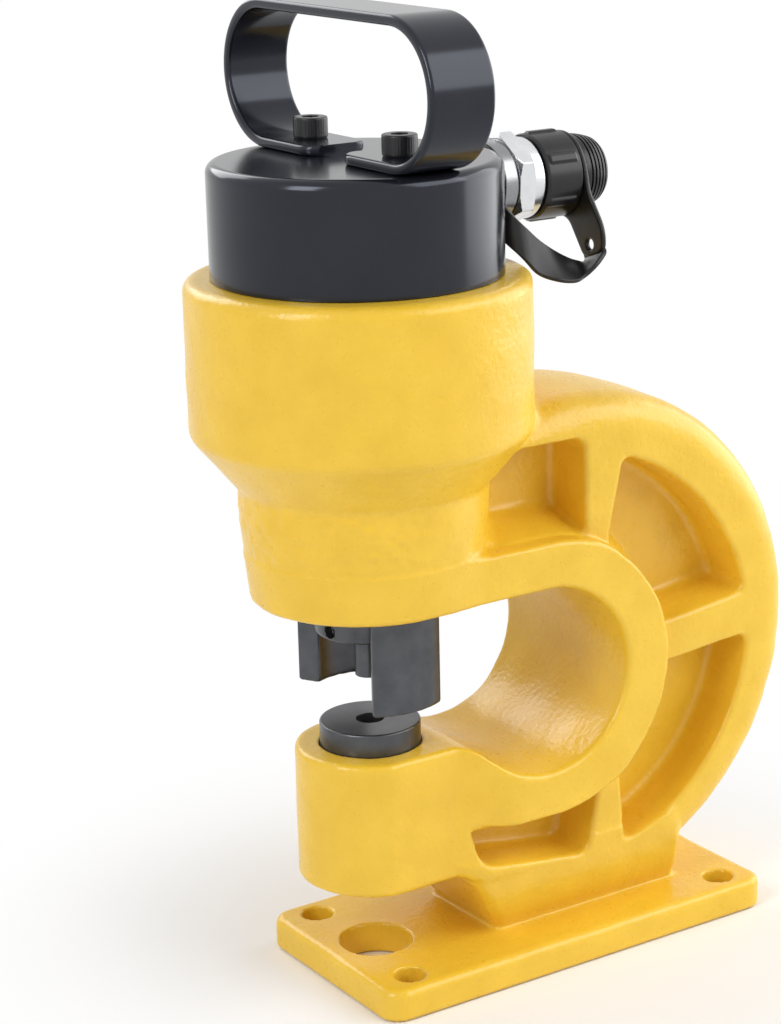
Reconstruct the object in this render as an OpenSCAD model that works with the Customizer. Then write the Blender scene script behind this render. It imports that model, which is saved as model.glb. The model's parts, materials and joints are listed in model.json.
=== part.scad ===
// Hydraulic hole punch: a C-shaped casting with a ram in its head, a punch and a die.
// Z = 0 is the underside of the base, and the origin is the centre of the four base holes.

/* [Base] */
// Length of the base plate
base_length = 190; // [180:1:220]
// Width of the base plate
base_width = 94; // [90:1:120]
// Thickness of the base plate
base_thick = 13; // [10:0.5:18]
// Corner radius of the base plate
base_corner_r = 9; // [5:0.5:12]
// Distance from each base hole to the end of the base
hole_edge_x = 16.5; // [13:0.5:20]
// Distance from each base hole to the side of the base
hole_edge_y = 12.5; // [10:0.5:15]
// Diameter of each base hole
base_hole_d = 12.6; // [8:0.2:14]
// Diameter of the hole that slugs fall through
slug_hole_d = 29; // [24:0.5:34]

/* [Frame] */
// Distance from the front end of the base back to the punch axis
punch_edge = 23; // [20:0.5:28]
// Clear height between base plate and lower jaw
jaw_gap = 31; // [24:1:40]
// Height of the lower jaw
jaw_height = 55.3; // [48:0.5:62]
// Width across the flats of the lower jaw
jaw_width = 57.6; // [54:0.2:58.4]
// Radius of the nose of the lower jaw
jaw_nose_r = 30; // [29.4:0.2:34]
// Height of the work opening between jaw and head
throat_gap = 61; // [56:0.5:66]
// Reach from the punch axis to the back of the throat
throat_depth = 96; // [88:1:104]
// Radius of the round back of the throat
throat_r = 38; // [34:0.5:41]
// Wall of the ring round the throat
ring_wall = 19.7; // [15:0.1:23]
// Width of the ring round the throat
ring_width = 84; // [78:1:88]
// Outer radius of the C
rim_r = 104; // [100:1:110]
// Wall of the rim at the back of the C
rim_wall = 20; // [14:0.5:24]
// Width of the rim
rim_width = 69; // [62:1:74]
// Thickness of the web between the pockets
web_thick = 14; // [8:0.5:20]
// Width of each rib between ring and rim
rib_width = 16; // [10:0.5:20]
// Width of the foot where it meets the base plate
foot_width = 44.6; // [36:0.2:60]

/* [Head] */
// Diameter of the neck at its lower end
neck_foot_d = 89.2; // [86:0.2:92]
// Diameter of the neck
neck_d = 96; // [93:0.5:100]
// Height of the neck below the flare
neck_height = 45; // [41:0.5:49]
// Height of the flare between neck and head
flare_height = 21; // [17:0.5:26]
// Diameter of the head
head_d = 130.8; // [126:0.2:138]
// Height of the head above the flare
head_height = 58.6; // [55.5:0.1:65]
// Rounding of the top edge of the head
head_round = 4; // [2:0.5:5]

/* [Cylinder] */
// Outer diameter of the barrel
barrel_d = 110; // [106:0.5:116]
// Height of the barrel above the head
barrel_height = 43; // [40:0.5:48]
// Rounding of the top edge of the barrel
barrel_round = 4; // [1:0.5:5]
// Diameter of the threaded part of the barrel in the head
spigot_d = 100; // [95:0.5:104]
// Length of the threaded part of the barrel
spigot_length = 50; // [44:0.5:52]
// Thickness of the closed end of the barrel
barrel_end = 30; // [28:0.5:32]
// Bore of the barrel
piston_d = 75; // [70:0.5:80]
// Height of the piston
piston_height = 27.5; // [25:0.5:30]
// Travel of the ram
stroke = 25; // [18:0.5:28]
// Diameter of the ram
ram_d = 40; // [36:0.5:42]
// Wire diameter of the return spring
spring_wire = 5; // [3:0.25:5.5]
// Number of turns of the return spring
spring_turns = 7; // [5:0.5:9]

/* [Tooling] */
// Diameter of the punch
punch_d = 10.5; // [6:0.5:12]
// Length of punch that shows below the nut
punch_reach = 18.5; // [14:0.5:20]
// Diameter of the punch nut
nut_d = 41; // [38:0.5:42]
// Height of the punch nut
nut_height = 20.2; // [18:0.2:22]
// How far the punch nut hangs below the head
nut_drop = 15; // [12:0.5:17]
// Outer diameter of the stripper's legs
leg_d = 63; // [60:0.5:66]
// How far the stripper's legs reach below the head
leg_drop = 40.7; // [37:0.1:42]
// Angle that each leg of the stripper covers
leg_angle = 60; // [40:1:70]
// Diameter of the die
die_d = 40; // [34:0.5:44]
// Height of the die
die_height = 24; // [20:0.5:28]
// How far the die stands out of the jaw
die_proud = 9; // [6:0.5:11]
// Gap between punch and die, all round
die_clearance = 0.3; // [0.2:0.05:0.5]

/* [Handle] */
// Length of the handle loop
handle_length = 143.6; // [130:0.2:150]
// Height of the handle loop
handle_height = 55.4; // [48:0.2:60]
// Width of the handle strap
handle_width = 27; // [22:0.5:32]
// Thickness of the handle strap
handle_thick = 4; // [3:0.25:5]
// Gap between the two feet of the handle
feet_gap = 20; // [12:0.5:26]
// Radius of the corners of the handle's feet
foot_corner_r = 7; // [2:0.5:9]
// Distance between the two handle screws
handle_bolt_spacing = 61; // [52:0.5:66]
// Thread diameter of the handle screws
handle_bolt_d = 8; // [6:0.5:9]

/* [Coupler] */
// Height of the oil port below the top of the barrel
port_drop = 15; // [13:0.25:16]
// Diameter of the port's thread
port_d = 19; // [16:0.5:20]
// Diameter of the nipple's collar
collar_d = 31; // [28:0.5:32]
// Width across flats of the hexagon
hex_flats = 32; // [30:0.5:34]
// Diameter of the coupler's nose
nose_d = 26.4; // [25:0.2:28]
// Length of the coupler's nose
nose_length = 15; // [14:0.5:18]
// Outer diameter of the dust cap
cap_d = 33.2; // [32:0.2:36]
// Number of grip ribs on the dust cap
cap_ribs = 6; // [4:1:10]
// Number of ridges on the end of the dust cap
cap_ridges = 5; // [3:1:6]
// Thickness of the dust cap's strap
strap_thick = 2; // [1.2:0.1:2.4]
// Opening travel of the coupler's valve
valve_travel = 3; // [2:0.25:3.5]

/* [Fits] */
// Radial gap of a running fit
run_gap = 0.05; // [0.02:0.01:0.1]
// Gap between pieces that only pass each other
pass_gap = 0.3; // [0.2:0.05:0.5]

/* [Hidden] */
$fn = 96;

// Places on the base, measured from its centre
hole_spacing_x = base_length - 2 * hole_edge_x;
hole_spacing_y = base_width - 2 * hole_edge_y;
punch_offset = base_length / 2 - punch_edge;

// Heights of the casting, stacked from the base up
jaw_bottom_z = base_thick + jaw_gap;
jaw_top_z = jaw_bottom_z + jaw_height;
under_z = jaw_top_z + throat_gap;
flare_z = under_z + neck_height;
head_z = flare_z + flare_height;
head_top_z = head_z + head_height;
barrel_top_z = head_top_z + barrel_height;

// Throat, ring and rim, measured from the punch axis
throat_x = throat_depth - throat_r;
throat_z = under_z - throat_r;
ring_r = throat_r + ring_wall;
rim_shift_x = 20.4;
rim_shift_z = 3.6;
rim_x = throat_x + rim_shift_x;
rim_z = throat_z + rim_shift_z;
rim_inner_shift = 4;
rim_inner_x = rim_x + rim_inner_shift;
rim_inner_r = rim_r - rim_wall - rim_inner_shift;
lip_round = 15;
flare_start = 22;
flare_end = 40;
foot_front = 44;
foot_lean = 14;
foot_back_edge = 32;
foot_back = base_length - punch_edge - foot_back_edge;
foot_top_width = 72;
rim_tail = 12;
rim_end_z = min(jaw_bottom_z,
    rim_z - sqrt(max(0, rim_r * rim_r - (foot_back - rim_x) * (foot_back - rim_x)))) - 0.5;
pocket_reach = 60;
pocket_floor = 2;
front_pocket_h = 38.8;
rib_lean = 77;
rib_foot_x = 69.3;
rib_front_x = 78;
low_rib_x = 91.4;
low_pocket_rise = 1.8;
far = 400;

// Bores in the casting, stacked up from the underside of the head
stripper_ring_h = 12;
stripper_ring_d = 68;
wiper_h = 6;
wiper_wall = 4.5;
bush_h = 14;
bush_wall = 4;
chamber_d = 66;
wiper_z = under_z + stripper_ring_h;
bush_z = wiper_z + wiper_h;
chamber_z = bush_z + bush_h;
spigot_seat_gap = 0.5;
spigot_z = head_top_z - spigot_length;
bore_top_z = barrel_top_z - barrel_end;

// Ram and piston, at the top of their travel
piston_top_z = bore_top_z - pass_gap;
piston_z = piston_top_z - piston_height;
nut_z = under_z - nut_drop;
nut_lip = 5;
punch_head_h = 5.5;
punch_head_d = 20;
ram_end_z = nut_z + nut_lip + punch_head_h;
ram_thread_d = 30;
nut_seat_gap = 0.3;
ram_shoulder_z = nut_z + nut_height + nut_seat_gap;
piston_spigot_d = 28;
piston_bolt_d = 12;
piston_bolt_head_d = 24;
piston_bolt_head_h = 7;
piston_bolt_length = 24;
seal_groove = 5;
seal_h = 6;
backup_h = 2;
seal_z = piston_z + 14;
wear_ring_z = piston_z + 4;
wear_ring_h = 6;
wear_ring_wall = 2.5;
tommy_hole_d = 5.4;
tommy_hole_depth = 4;
tommy_hole_turn = -168;
tommy_hole_drop = 4;
spring_r = (ram_d + chamber_d) / 4 + 1;
spring_rings = 8;
spring_sides = 6;
spring_length = piston_z - chamber_z;

// Tooling below the head
leg_inner_r = nut_d / 2 + 1.5;
stripper_bolt_r = (leg_inner_r + stripper_ring_d / 2) / 2 + 0.6;
stripper_bolt_d = 5;
stripper_bolt_head_d = 8.5;
stripper_bolt_head_h = 5.5;
stripper_bolt_length = 20;
die_z = jaw_top_z + die_proud - die_height;
die_bore_d = punch_d + 2 * die_clearance;
die_land = 8;
die_relief_d = die_bore_d + 4;
jaw_slug_d = die_relief_d + 8;
set_screw_d = 8;
set_screw_z = die_z + 7;
set_screw_sink = 1.5;
socket_d = 4;

// Handle on top of the barrel
handle_end_r = handle_height / 2;
handle_bolt_head_d = 13;
handle_bolt_head_h = 8;
handle_bolt_depth = 14;
handle_socket_flats = 6;
handle_socket_depth = 4;
handle_hole_gap = 0.5;

// Coupler, along X from the side of the barrel
port_z = barrel_top_z - port_drop;
spot_depth = 2;
spot_d = collar_d + 3;
spot_x = barrel_d / 2 - spot_depth;
port_depth = 20;
oil_hole_d = 6;
seal_wall = 1.5;
neck_x = spot_x + seal_wall;
nipple_neck_d = port_d + 1;
nipple_neck_length = strap_thick + 2 * pass_gap;
collar_x = neck_x + nipple_neck_length;
collar_length = 6.4;
hex_x = collar_x + collar_length;
hex_length = 7.2;
hex_turn = 3;
turned_d = hex_flats - 0.8;
turned_length = 5.4;
nose_x = hex_x + hex_length + turned_length;
nose_end_x = nose_x + nose_length;
stub_d = 17;
stub_length = 5.6;
guide_x = hex_x + stub_length;
guide_h = 3;
valve_bore_d = 15;
valve_head_d = 13.8;
valve_stem_d = 4;
valve_spring_wire = 1.2;
valve_spring_turns = 4;
valve_spring_r = 4.8;
valve_head_x = guide_x + guide_h + 10;
valve_head_h = 2.5;
seat_cone_h = 2.5;
seat_d = 10;
seat_x = valve_head_x + valve_head_h + pass_gap;
mouth_d = 14;
mouth_x = seat_x + seat_cone_h + 0.6;
oring_wire = 1.8;
oring_x = (mouth_x + nose_end_x) / 2;

// Dust cap and its strap
cap_x = nose_x + pass_gap;
cap_skirt = nose_length + 1.3;
cap_groove_x = cap_x + cap_skirt;
cap_groove_d = 25.4;
cap_groove_w = strap_thick + 1.2;
cap_end_x = cap_groove_x + cap_groove_w;
cap_end_length = 12.5;
cap_end_d = 29.6;
cap_tip_d = 24.8;
cap_ridge_deep = 0.9;
cap_rib_w = 3.4;
cap_rib_rise = 0.8;
cap_rib_sink = 1.5;
cap_rib_inset = 2;
eye_wall = 3.4;
eye_d = cap_groove_d + 2 * pass_gap;
eye_x = cap_groove_x + (cap_groove_w - strap_thick) / 2;
strap_ring_x = neck_x + pass_gap;
strap_ring_wall = 4.8;
tab_turn = 36;
tab_near = 11.7;
tab_far = 5.6;
tab_near_length = 31.6;
tab_mid_length = 38.3;
tab_far_length = 34.6;
tab_mid = 6.6;
tab_hole_d = 4;
tab_hole_r = 31.9;
tab_hole_side = 1;

// Hand-chosen edges of the strap's band: share of the way from ring to eye, then Y, then height from the axis
band_inner = [[0, -12.5, -2], [0, -15.2, -4.6], [0, -17, -6.6], [0.06, -18.2, -9.8], [0.18, -18.2, -14.6],
    [0.35, -17.6, -20.3], [0.55, -17.6, -25.9], [0.74, -17.7, -30], [0.88, -17.5, -32], [0.96, -16.8, -32.8],
    [1, -15.9, -31.6], [1, -15.3, -30]];
band_outer = [[0, -5, -11.5], [0, -8, -15], [0, -12, -18.4], [0.05, -16.8, -22.6], [0.16, -21, -28],
    [0.3, -22.6, -33.7], [0.46, -27.1, -36.1], [0.64, -28.4, -36.9], [0.75, -28, -35.5], [0.88, -28.8, -31.5],
    [1, -28, -27.6], [1, -27.9, -25.8]];
band_thick = strap_thick - 0.4;
band_steps = 4;

function unit(v) = v / norm(v);
function arc(cx, cy, r, from, to, steps) =
    [for (i = [0:steps]) let (a = from + (to - from) * i / steps) [cx + r * cos(a), cy + r * sin(a)]];

// Place a shape on the punch axis
module on_axis() translate([-punch_offset, 0, 0]) children();

// Turn a shape that stands along Z so that it lies along X on the port's axis
module on_port(x = 0) on_axis() translate([x, 0, port_z]) rotate([0, 90, 0]) children();

// Extrude a side view, drawn as X and Z, by its width across Y
module side_view(width) rotate([90, 0, 0]) translate([0, 0, -width / 2]) linear_extrude(width) children();

// A ring along Z
module ring(outer_d, inner_d, h) difference() {
    cylinder(d = outer_d, h = h);
    translate([0, 0, -1]) cylinder(d = inner_d, h = h + 2);
}

// A helical wire along Z with a steady pitch, made of triangles
function helix_centre(r, wire, length, turns, i) =
    let (a = 360 * i / spring_rings)
    [r * cos(a), r * sin(a), wire / 2 + (length - wire) * i / (turns * spring_rings)];

module helix(r, wire, length, turns) {
    rings = turns * spring_rings;
    points = [for (i = [0:rings], j = [0:spring_sides - 1])
        let (a = 360 * i / spring_rings, b = 360 * j / spring_sides,
            c = helix_centre(r, wire, length, turns, i))
        [c.x + wire / 2 * cos(b) * cos(a), c.y + wire / 2 * cos(b) * sin(a), c.z + wire / 2 * sin(b)]];
    gaps = [for (i = [0:rings - spring_rings])
        norm(helix_centre(r, wire, length, turns, i + spring_rings)
            - helix_centre(r, wire, length, turns, i))];
    echo(least_gap = min(gaps) - wire);
    polyhedron(points, tube_faces(rings, spring_sides));
}

// Triangles of a tube of rings, each with the same number of sides, and its two ends
function tube_faces(rings, sides) = concat(
    [for (j = [1:sides - 2]) [0, j, j + 1]],
    [for (i = [0:rings - 1], j = [0:sides - 1], k = [0, 1])
        let (a = i * sides + j, b = i * sides + (j + 1) % sides)
        k == 0 ? [a, a + sides, b] : [b, a + sides, b + sides]],
    [for (j = [1:sides - 2]) [rings * sides, rings * sides + j + 1, rings * sides + j]]);

// Base plate with round corners
module base_outline() {
    square([base_length - 2 * base_corner_r, base_width], center = true);
    square([base_length, base_width - 2 * base_corner_r], center = true);
    for (x = [-1, 1], y = [-1, 1])
        translate([x * (base_length / 2 - base_corner_r), y * (base_width / 2 - base_corner_r)])
            circle(base_corner_r);
}

// Lowest part of the casting: the plate with its four bolt holes and the hole for slugs
module base_plate() color("gold") difference() {
    linear_extrude(base_thick) base_outline();
    on_axis() translate([0, 0, -1]) cylinder(d = slug_hole_d, h = base_thick + 2);
    for (x = [-1, 1], y = [-1, 1])
        translate([x * hole_spacing_x / 2, y * hole_spacing_y / 2, -1])
            cylinder(d = base_hole_d, h = base_thick + 2);
}

// Foot between base plate and C, narrower at the base
module foot() on_axis() intersection() {
    side_view(far) polygon([[foot_front, base_thick], [foot_back, base_thick],
        [foot_back, jaw_bottom_z], [foot_front - foot_lean, jaw_bottom_z]]);
    rotate([90, 0, 90]) linear_extrude(far) polygon([[foot_width / 2, base_thick],
        [foot_top_width / 2, jaw_bottom_z + 1], [-foot_top_width / 2, jaw_bottom_z + 1],
        [-foot_width / 2, base_thick]]);
}

// Outer body of the C, as wide as the rim
module rim_body() on_axis() side_view(rim_width) intersection() {
    translate([rim_x, rim_z]) circle(rim_r, $fn = 160);
    polygon([[foot_front - foot_lean, jaw_bottom_z - 0.5], [foot_back - rim_tail, jaw_bottom_z - 0.5],
        [foot_back, rim_end_z], [far, rim_end_z], [far, far], [flare_start, far], [flare_start, under_z],
        [throat_x, under_z], [throat_x, jaw_top_z], [foot_front - foot_lean, jaw_top_z]]);
}

// Upper half of the ring round the throat, with the lip that runs to the neck
module upper_ring() on_axis() side_view(ring_width) {
    intersection() {
        translate([throat_x, throat_z]) circle(ring_r);
        translate([0, throat_z]) square(far);
    }
    translate([0, under_z]) square([throat_x, ring_wall]);
}

// Plan of the lower jaw: round nose, flats, and a straight flare out to the ring
module jaw_plan() {
    edge = [[0, jaw_width / 2], [flare_start, jaw_width / 2], [flare_end, ring_width / 2],
        [far, ring_width / 2]];
    polygon(concat(edge, [for (i = [len(edge) - 1:-1:0]) [edge[i].x, -edge[i].y]]));
    intersection() {
        circle(jaw_nose_r);
        square([3 * jaw_nose_r, jaw_width], center = true);
    }
}

// Lower half of the ring and the lower jaw
module lower_jaw() on_axis() intersection() {
    linear_extrude(far) jaw_plan();
    side_view(ring_width) {
        intersection() {
            translate([throat_x, throat_z]) circle(ring_r);
            translate([0, throat_z - far]) square(far);
        }
        translate([-jaw_nose_r, jaw_bottom_z]) square([jaw_nose_r + throat_x, jaw_height]);
    }
}

// Neck, flare and head, turned about the punch axis
module head_body() on_axis() rotate_extrude() polygon(concat(
    [[0, under_z], [neck_foot_d / 2, under_z], [neck_d / 2, flare_z - neck_height / 4],
        [neck_d / 2, flare_z], [head_d / 2, head_z]],
    arc(head_d / 2 - head_round, head_top_z - head_round, head_round, 0, 90, 4),
    [[0, head_top_z]]));

// Work opening: round back, flat top, and a rounded lip down from the jaw
lip_x = throat_x - sqrt((throat_r + lip_round) * (throat_r + lip_round)
    - (throat_z - jaw_top_z + lip_round) * (throat_z - jaw_top_z + lip_round));

module throat_view() {
    translate([throat_x, throat_z]) circle(throat_r);
    translate([-far, jaw_top_z]) square([far + throat_x, throat_gap]);
    difference() {
        polygon([[lip_x, jaw_top_z + 1], [lip_x, jaw_top_z],
            [lip_x, jaw_top_z - lip_round], [throat_x, throat_z]]);
        translate([lip_x, jaw_top_z - lip_round]) circle(lip_round);
    }
}

// Pockets between ring and rim, split by the three ribs
module pocket_views() {
    difference() {
        intersection() {
            translate([rim_inner_x, rim_z]) circle(rim_inner_r, $fn = 160);
            translate([throat_x, jaw_bottom_z + pocket_floor]) square(far);
        }
        translate([throat_x, throat_z]) circle(ring_r);
        translate([rib_foot_x, throat_z]) rotate(rib_lean) translate([0, -rib_width / 2]) square([far, far]);
        translate([throat_x, rim_z - rib_width / 2]) square([far, rib_width]);
        translate([low_rib_x - far + rib_width / 2, throat_z - far]) square(far);
    }
    // Pocket between neck and upright rib, under the top of the arm
    difference() {
        translate([0, under_z + ring_wall]) square([rib_front_x, front_pocket_h]);
        translate([throat_x, throat_z]) circle(ring_r);
    }
    // Pocket under the ring, between jaw and low rib
    difference() {
        translate([flare_start + 6, jaw_bottom_z + pocket_floor])
            square([low_rib_x - rib_width / 2 - flare_start - 6, throat_z - jaw_bottom_z]);
        translate([throat_x, throat_z]) circle(ring_r);
        translate([0, throat_z - ring_r + low_pocket_rise]) square(far);
    }
}

module pockets() on_axis() for (turn = [0, 1]) mirror([0, turn, 0])
    rotate([90, 0, 0]) translate([0, 0, web_thick / 2]) linear_extrude(pocket_reach) pocket_views();

// Bores of the head, from the stripper's seat up to the barrel's thread
module head_bores() on_axis() {
    translate([0, 0, under_z - 1]) cylinder(d = stripper_ring_d + 2 * run_gap, h = stripper_ring_h + 1);
    translate([0, 0, wiper_z - 1]) cylinder(d = ram_d + 2 * wiper_wall, h = wiper_h + 1);
    translate([0, 0, bush_z - 1]) cylinder(d = ram_d + 2 * bush_wall, h = bush_h + 2);
    translate([0, 0, chamber_z]) cylinder(d = chamber_d, h = far);
    translate([0, 0, spigot_z - spigot_seat_gap]) cylinder(d = spigot_d + 2 * run_gap, h = far);
    for (x = [-1, 1]) translate([x * stripper_bolt_r, 0, wiper_z - 1])
        cylinder(d = stripper_bolt_d, h = stripper_bolt_length - stripper_ring_h + stripper_bolt_head_h + 2);
}

// Holes in the lower jaw
module jaw_holes() on_axis() {
    translate([0, 0, die_z]) cylinder(d = die_d + 2 * run_gap, h = die_height);
    translate([0, 0, jaw_bottom_z - 1]) cylinder(d = jaw_slug_d, h = jaw_height);
    translate([0, 0, set_screw_z]) rotate([-90, 0, 0]) cylinder(d = set_screw_d, h = jaw_width);
}

// Middle part of the casting: foot, lower jaw, ring, rim and ribs, cut off where the head begins
module c_frame() color("gold") difference() {
    union() {
        foot();
        difference() {
            union() {
                rim_body();
                upper_ring();
                lower_jaw();
            }
            pockets();
            on_axis() side_view(far) throat_view();
        }
    }
    head_body();
    jaw_holes();
}

// Upper part of the casting: neck, flare and head with their bores
module frame_head() color("gold") difference() {
    head_body();
    head_bores();
}

// Closed barrel with its thread down in the head, its bore, oil port and screw holes
module cylinder_barrel() color("dimgray") on_axis() difference() {
    union() {
        rotate_extrude() polygon(concat([[0, head_top_z], [barrel_d / 2, head_top_z]],
            arc(barrel_d / 2 - barrel_round, barrel_top_z - barrel_round, barrel_round, 0, 90, 4),
            [[0, barrel_top_z]]));
        translate([0, 0, spigot_z]) cylinder(d = spigot_d, h = spigot_length + 1);
    }
    translate([0, 0, spigot_z - 1]) cylinder(d = piston_d, h = bore_top_z - spigot_z + 1);
    translate([0, 0, bore_top_z - 1]) cylinder(d = oil_hole_d, h = port_z - bore_top_z + 1);
    translate([-oil_hole_d / 2, 0, port_z]) rotate([0, 90, 0]) cylinder(d = oil_hole_d, h = barrel_d / 2);
    translate([spot_x - port_depth, 0, port_z]) rotate([0, 90, 0]) cylinder(d = port_d, h = barrel_d);
    translate([spot_x, 0, port_z]) rotate([0, 90, 0]) cylinder(d = spot_d, h = barrel_d);
    for (y = [-1, 1]) translate([0, y * handle_bolt_spacing / 2, barrel_top_z - handle_bolt_depth - 1])
        cylinder(d = handle_bolt_d, h = far);
}

module guide_bush() color("peru") on_axis() translate([0, 0, bush_z])
    ring(ram_d + 2 * bush_wall - 2 * run_gap, ram_d + 2 * run_gap, bush_h);

module rod_wiper() color("darkslategray") on_axis() translate([0, 0, wiper_z])
    ring(ram_d + 2 * wiper_wall - 2 * run_gap, ram_d + 2 * run_gap, wiper_h);

module ram() color("silver") on_axis() difference() {
    union() {
        translate([0, 0, ram_end_z]) cylinder(d = ram_thread_d, h = piston_z - ram_end_z);
        translate([0, 0, ram_shoulder_z]) cylinder(d = ram_d, h = piston_z - ram_shoulder_z);
        translate([0, 0, piston_z - 1])
            cylinder(d = piston_spigot_d, h = 1 + piston_height - piston_bolt_head_h);
    }
    translate([0, 0, piston_top_z - piston_bolt_head_h - piston_bolt_length - 1])
        cylinder(d = piston_bolt_d, h = far);
}

module piston() color("darkgray") on_axis() difference() {
    translate([0, 0, piston_z]) cylinder(d = piston_d - 2 * run_gap, h = piston_height);
    translate([0, 0, piston_z - 1]) cylinder(d = piston_spigot_d + 2 * run_gap, h = piston_height + 2);
    translate([0, 0, seal_z]) ring(piston_d + 10, piston_d - 2 * seal_groove, seal_h + backup_h);
    translate([0, 0, wear_ring_z]) ring(piston_d + 10, piston_d - 2 * wear_ring_wall, wear_ring_h);
}

// Screw with a washer head that holds the piston on the ram
module piston_bolt() color("dimgray") on_axis() translate([0, 0, piston_top_z - piston_bolt_head_h]) {
    difference() {
        cylinder(d = piston_bolt_head_d, h = piston_bolt_head_h - 1);
        translate([0, 0, 2]) cylinder(d = handle_socket_flats / cos(30) + 3, h = far, $fn = 6);
    }
    translate([0, 0, -piston_bolt_length])
        cylinder(d = piston_bolt_d - 2 * run_gap, h = piston_bolt_length + 1);
}

module piston_seal() color("darkslategray") on_axis() translate([0, 0, seal_z + backup_h])
    ring(piston_d - 2 * run_gap, piston_d - 2 * seal_groove + 2 * run_gap, seal_h);

module piston_backup_ring() color("white") on_axis() translate([0, 0, seal_z])
    ring(piston_d - 2 * run_gap, piston_d - 2 * seal_groove + 2 * run_gap, backup_h);

module piston_wear_ring() color("saddlebrown") on_axis() translate([0, 0, wear_ring_z])
    ring(piston_d - 2 * run_gap, piston_d - 2 * wear_ring_wall + 2 * run_gap, wear_ring_h);

module return_spring() color("slategray") on_axis() translate([0, 0, chamber_z])
    helix(spring_r, spring_wire, spring_length, spring_turns);

// Round nut that clamps the punch to the ram, with holes for a tommy bar
module punch_nut() color("slategray") on_axis() difference() {
    translate([0, 0, nut_z]) cylinder(d = nut_d, h = nut_height);
    translate([0, 0, nut_z - 1]) cylinder(d = punch_d + 2 * pass_gap, h = nut_height);
    translate([0, 0, nut_z + nut_lip]) cylinder(d = ram_thread_d + 2 * run_gap, h = nut_height);
    for (i = [0:3]) rotate(tommy_hole_turn + 90 * i)
        translate([nut_d / 2 - tommy_hole_depth, 0, nut_z + tommy_hole_drop])
            rotate([0, 90, 0]) cylinder(d = tommy_hole_d, h = nut_d);
}

module punch() color("gray") on_axis() {
    translate([0, 0, nut_z + nut_lip]) cylinder(d = punch_head_d, h = punch_head_h);
    translate([0, 0, nut_z - punch_reach]) cylinder(d = punch_d, h = punch_reach + nut_lip + 1);
}

// Ring in the neck with two legs that hold the work down
module stripper() color("slategray") on_axis() difference() {
    union() {
        translate([0, 0, under_z]) cylinder(d = stripper_ring_d, h = stripper_ring_h);
        for (turn = [90, -90]) rotate(turn - leg_angle / 2) translate([0, 0, under_z - leg_drop])
            rotate_extrude(angle = leg_angle) translate([leg_inner_r / 2, 0])
                square([leg_d / 2 - leg_inner_r / 2, leg_drop + 1]);
    }
    translate([0, 0, under_z - leg_drop - 1]) cylinder(r = leg_inner_r, h = leg_drop + stripper_ring_h + 2);
    for (x = [-1, 1]) translate([x * stripper_bolt_r, 0, under_z - 1]) {
        cylinder(d = stripper_bolt_d + 2 * run_gap, h = stripper_ring_h + 2);
        cylinder(d = stripper_bolt_head_d + 1, h = stripper_bolt_head_h + 1);
    }
}

// Socket-head screw along Z: seat of its head at zero, thread below
module socket_screw(d, length, head_d, head_h, socket_flats, socket_depth) difference() {
    union() {
        cylinder(d = head_d, h = head_h);
        translate([0, 0, -length]) cylinder(d = d, h = length + 1);
    }
    translate([0, 0, head_h - socket_depth]) cylinder(d = socket_flats / cos(30), h = far, $fn = 6);
}

module stripper_bolts() color("dimgray") on_axis() for (x = [-1, 1])
    translate([x * stripper_bolt_r, 0, under_z + stripper_bolt_head_h]) mirror([0, 0, 1])
        socket_screw(stripper_bolt_d - 2 * run_gap, stripper_bolt_length - stripper_bolt_head_h + 4,
            stripper_bolt_head_d, stripper_bolt_head_h - 0.5, 4, 3);

module die() color("gray") on_axis() difference() {
    translate([0, 0, die_z]) cylinder(d = die_d, h = die_height);
    translate([0, 0, die_z - 1]) cylinder(d = die_bore_d, h = die_height + 2);
    translate([0, 0, die_z - 1]) cylinder(d = die_relief_d, h = die_height - die_land + 1);
}

// Headless screw from the far side of the jaw that locks the die
module die_set_screw() color("dimgray") on_axis() translate([0, die_d / 2 + run_gap, set_screw_z])
    rotate([-90, 0, 0]) difference() {
        cylinder(d = set_screw_d - 2 * run_gap, h = jaw_width / 2 - die_d / 2 - set_screw_sink);
        translate([0, 0, 3]) cylinder(d = socket_d / cos(30), h = far, $fn = 6);
    }

// Outline of a loop with straight runs and round ends
module loop_outline(length, height) {
    square([length - height, height], center = true);
    for (y = [-1, 1]) translate([y * (length - height) / 2, 0]) circle(height / 2);
}

// Flat strap bent to a loop, open between its two feet
module handle_strap() color("dimgray") on_axis() translate([0, 0, barrel_top_z]) difference() {
    rotate([90, 0, 90]) translate([0, handle_end_r, -handle_width / 2]) linear_extrude(handle_width)
        difference() {
            loop_outline(handle_length, handle_height);
            loop_outline(handle_length - 2 * handle_thick, handle_height - 2 * handle_thick);
            translate([-feet_gap / 2, -far]) square([feet_gap, far]);
        }
    for (y = [-1, 1]) translate([0, y * handle_bolt_spacing / 2, -1])
        cylinder(d = handle_bolt_d + handle_hole_gap, h = handle_thick + 2);
    for (x = [0, 1], y = [0, 1]) mirror([x, 0, 0]) mirror([0, y, 0])
        translate([handle_width / 2 - foot_corner_r, feet_gap / 2 + foot_corner_r, -1])
            linear_extrude(handle_thick + 2) foot_corner();
}

// What is cut off a corner of a foot: the corner's square less its round
module foot_corner() difference() {
    translate([0, -foot_corner_r - 1]) square(foot_corner_r + 1);
    circle(foot_corner_r);
}

module handle_bolts() color("black") on_axis() for (y = [-1, 1])
    translate([0, y * handle_bolt_spacing / 2, barrel_top_z + handle_thick])
        socket_screw(handle_bolt_d - 2 * run_gap, handle_thick + handle_bolt_depth,
            handle_bolt_head_d, handle_bolt_head_h, handle_socket_flats, handle_socket_depth);

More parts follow.
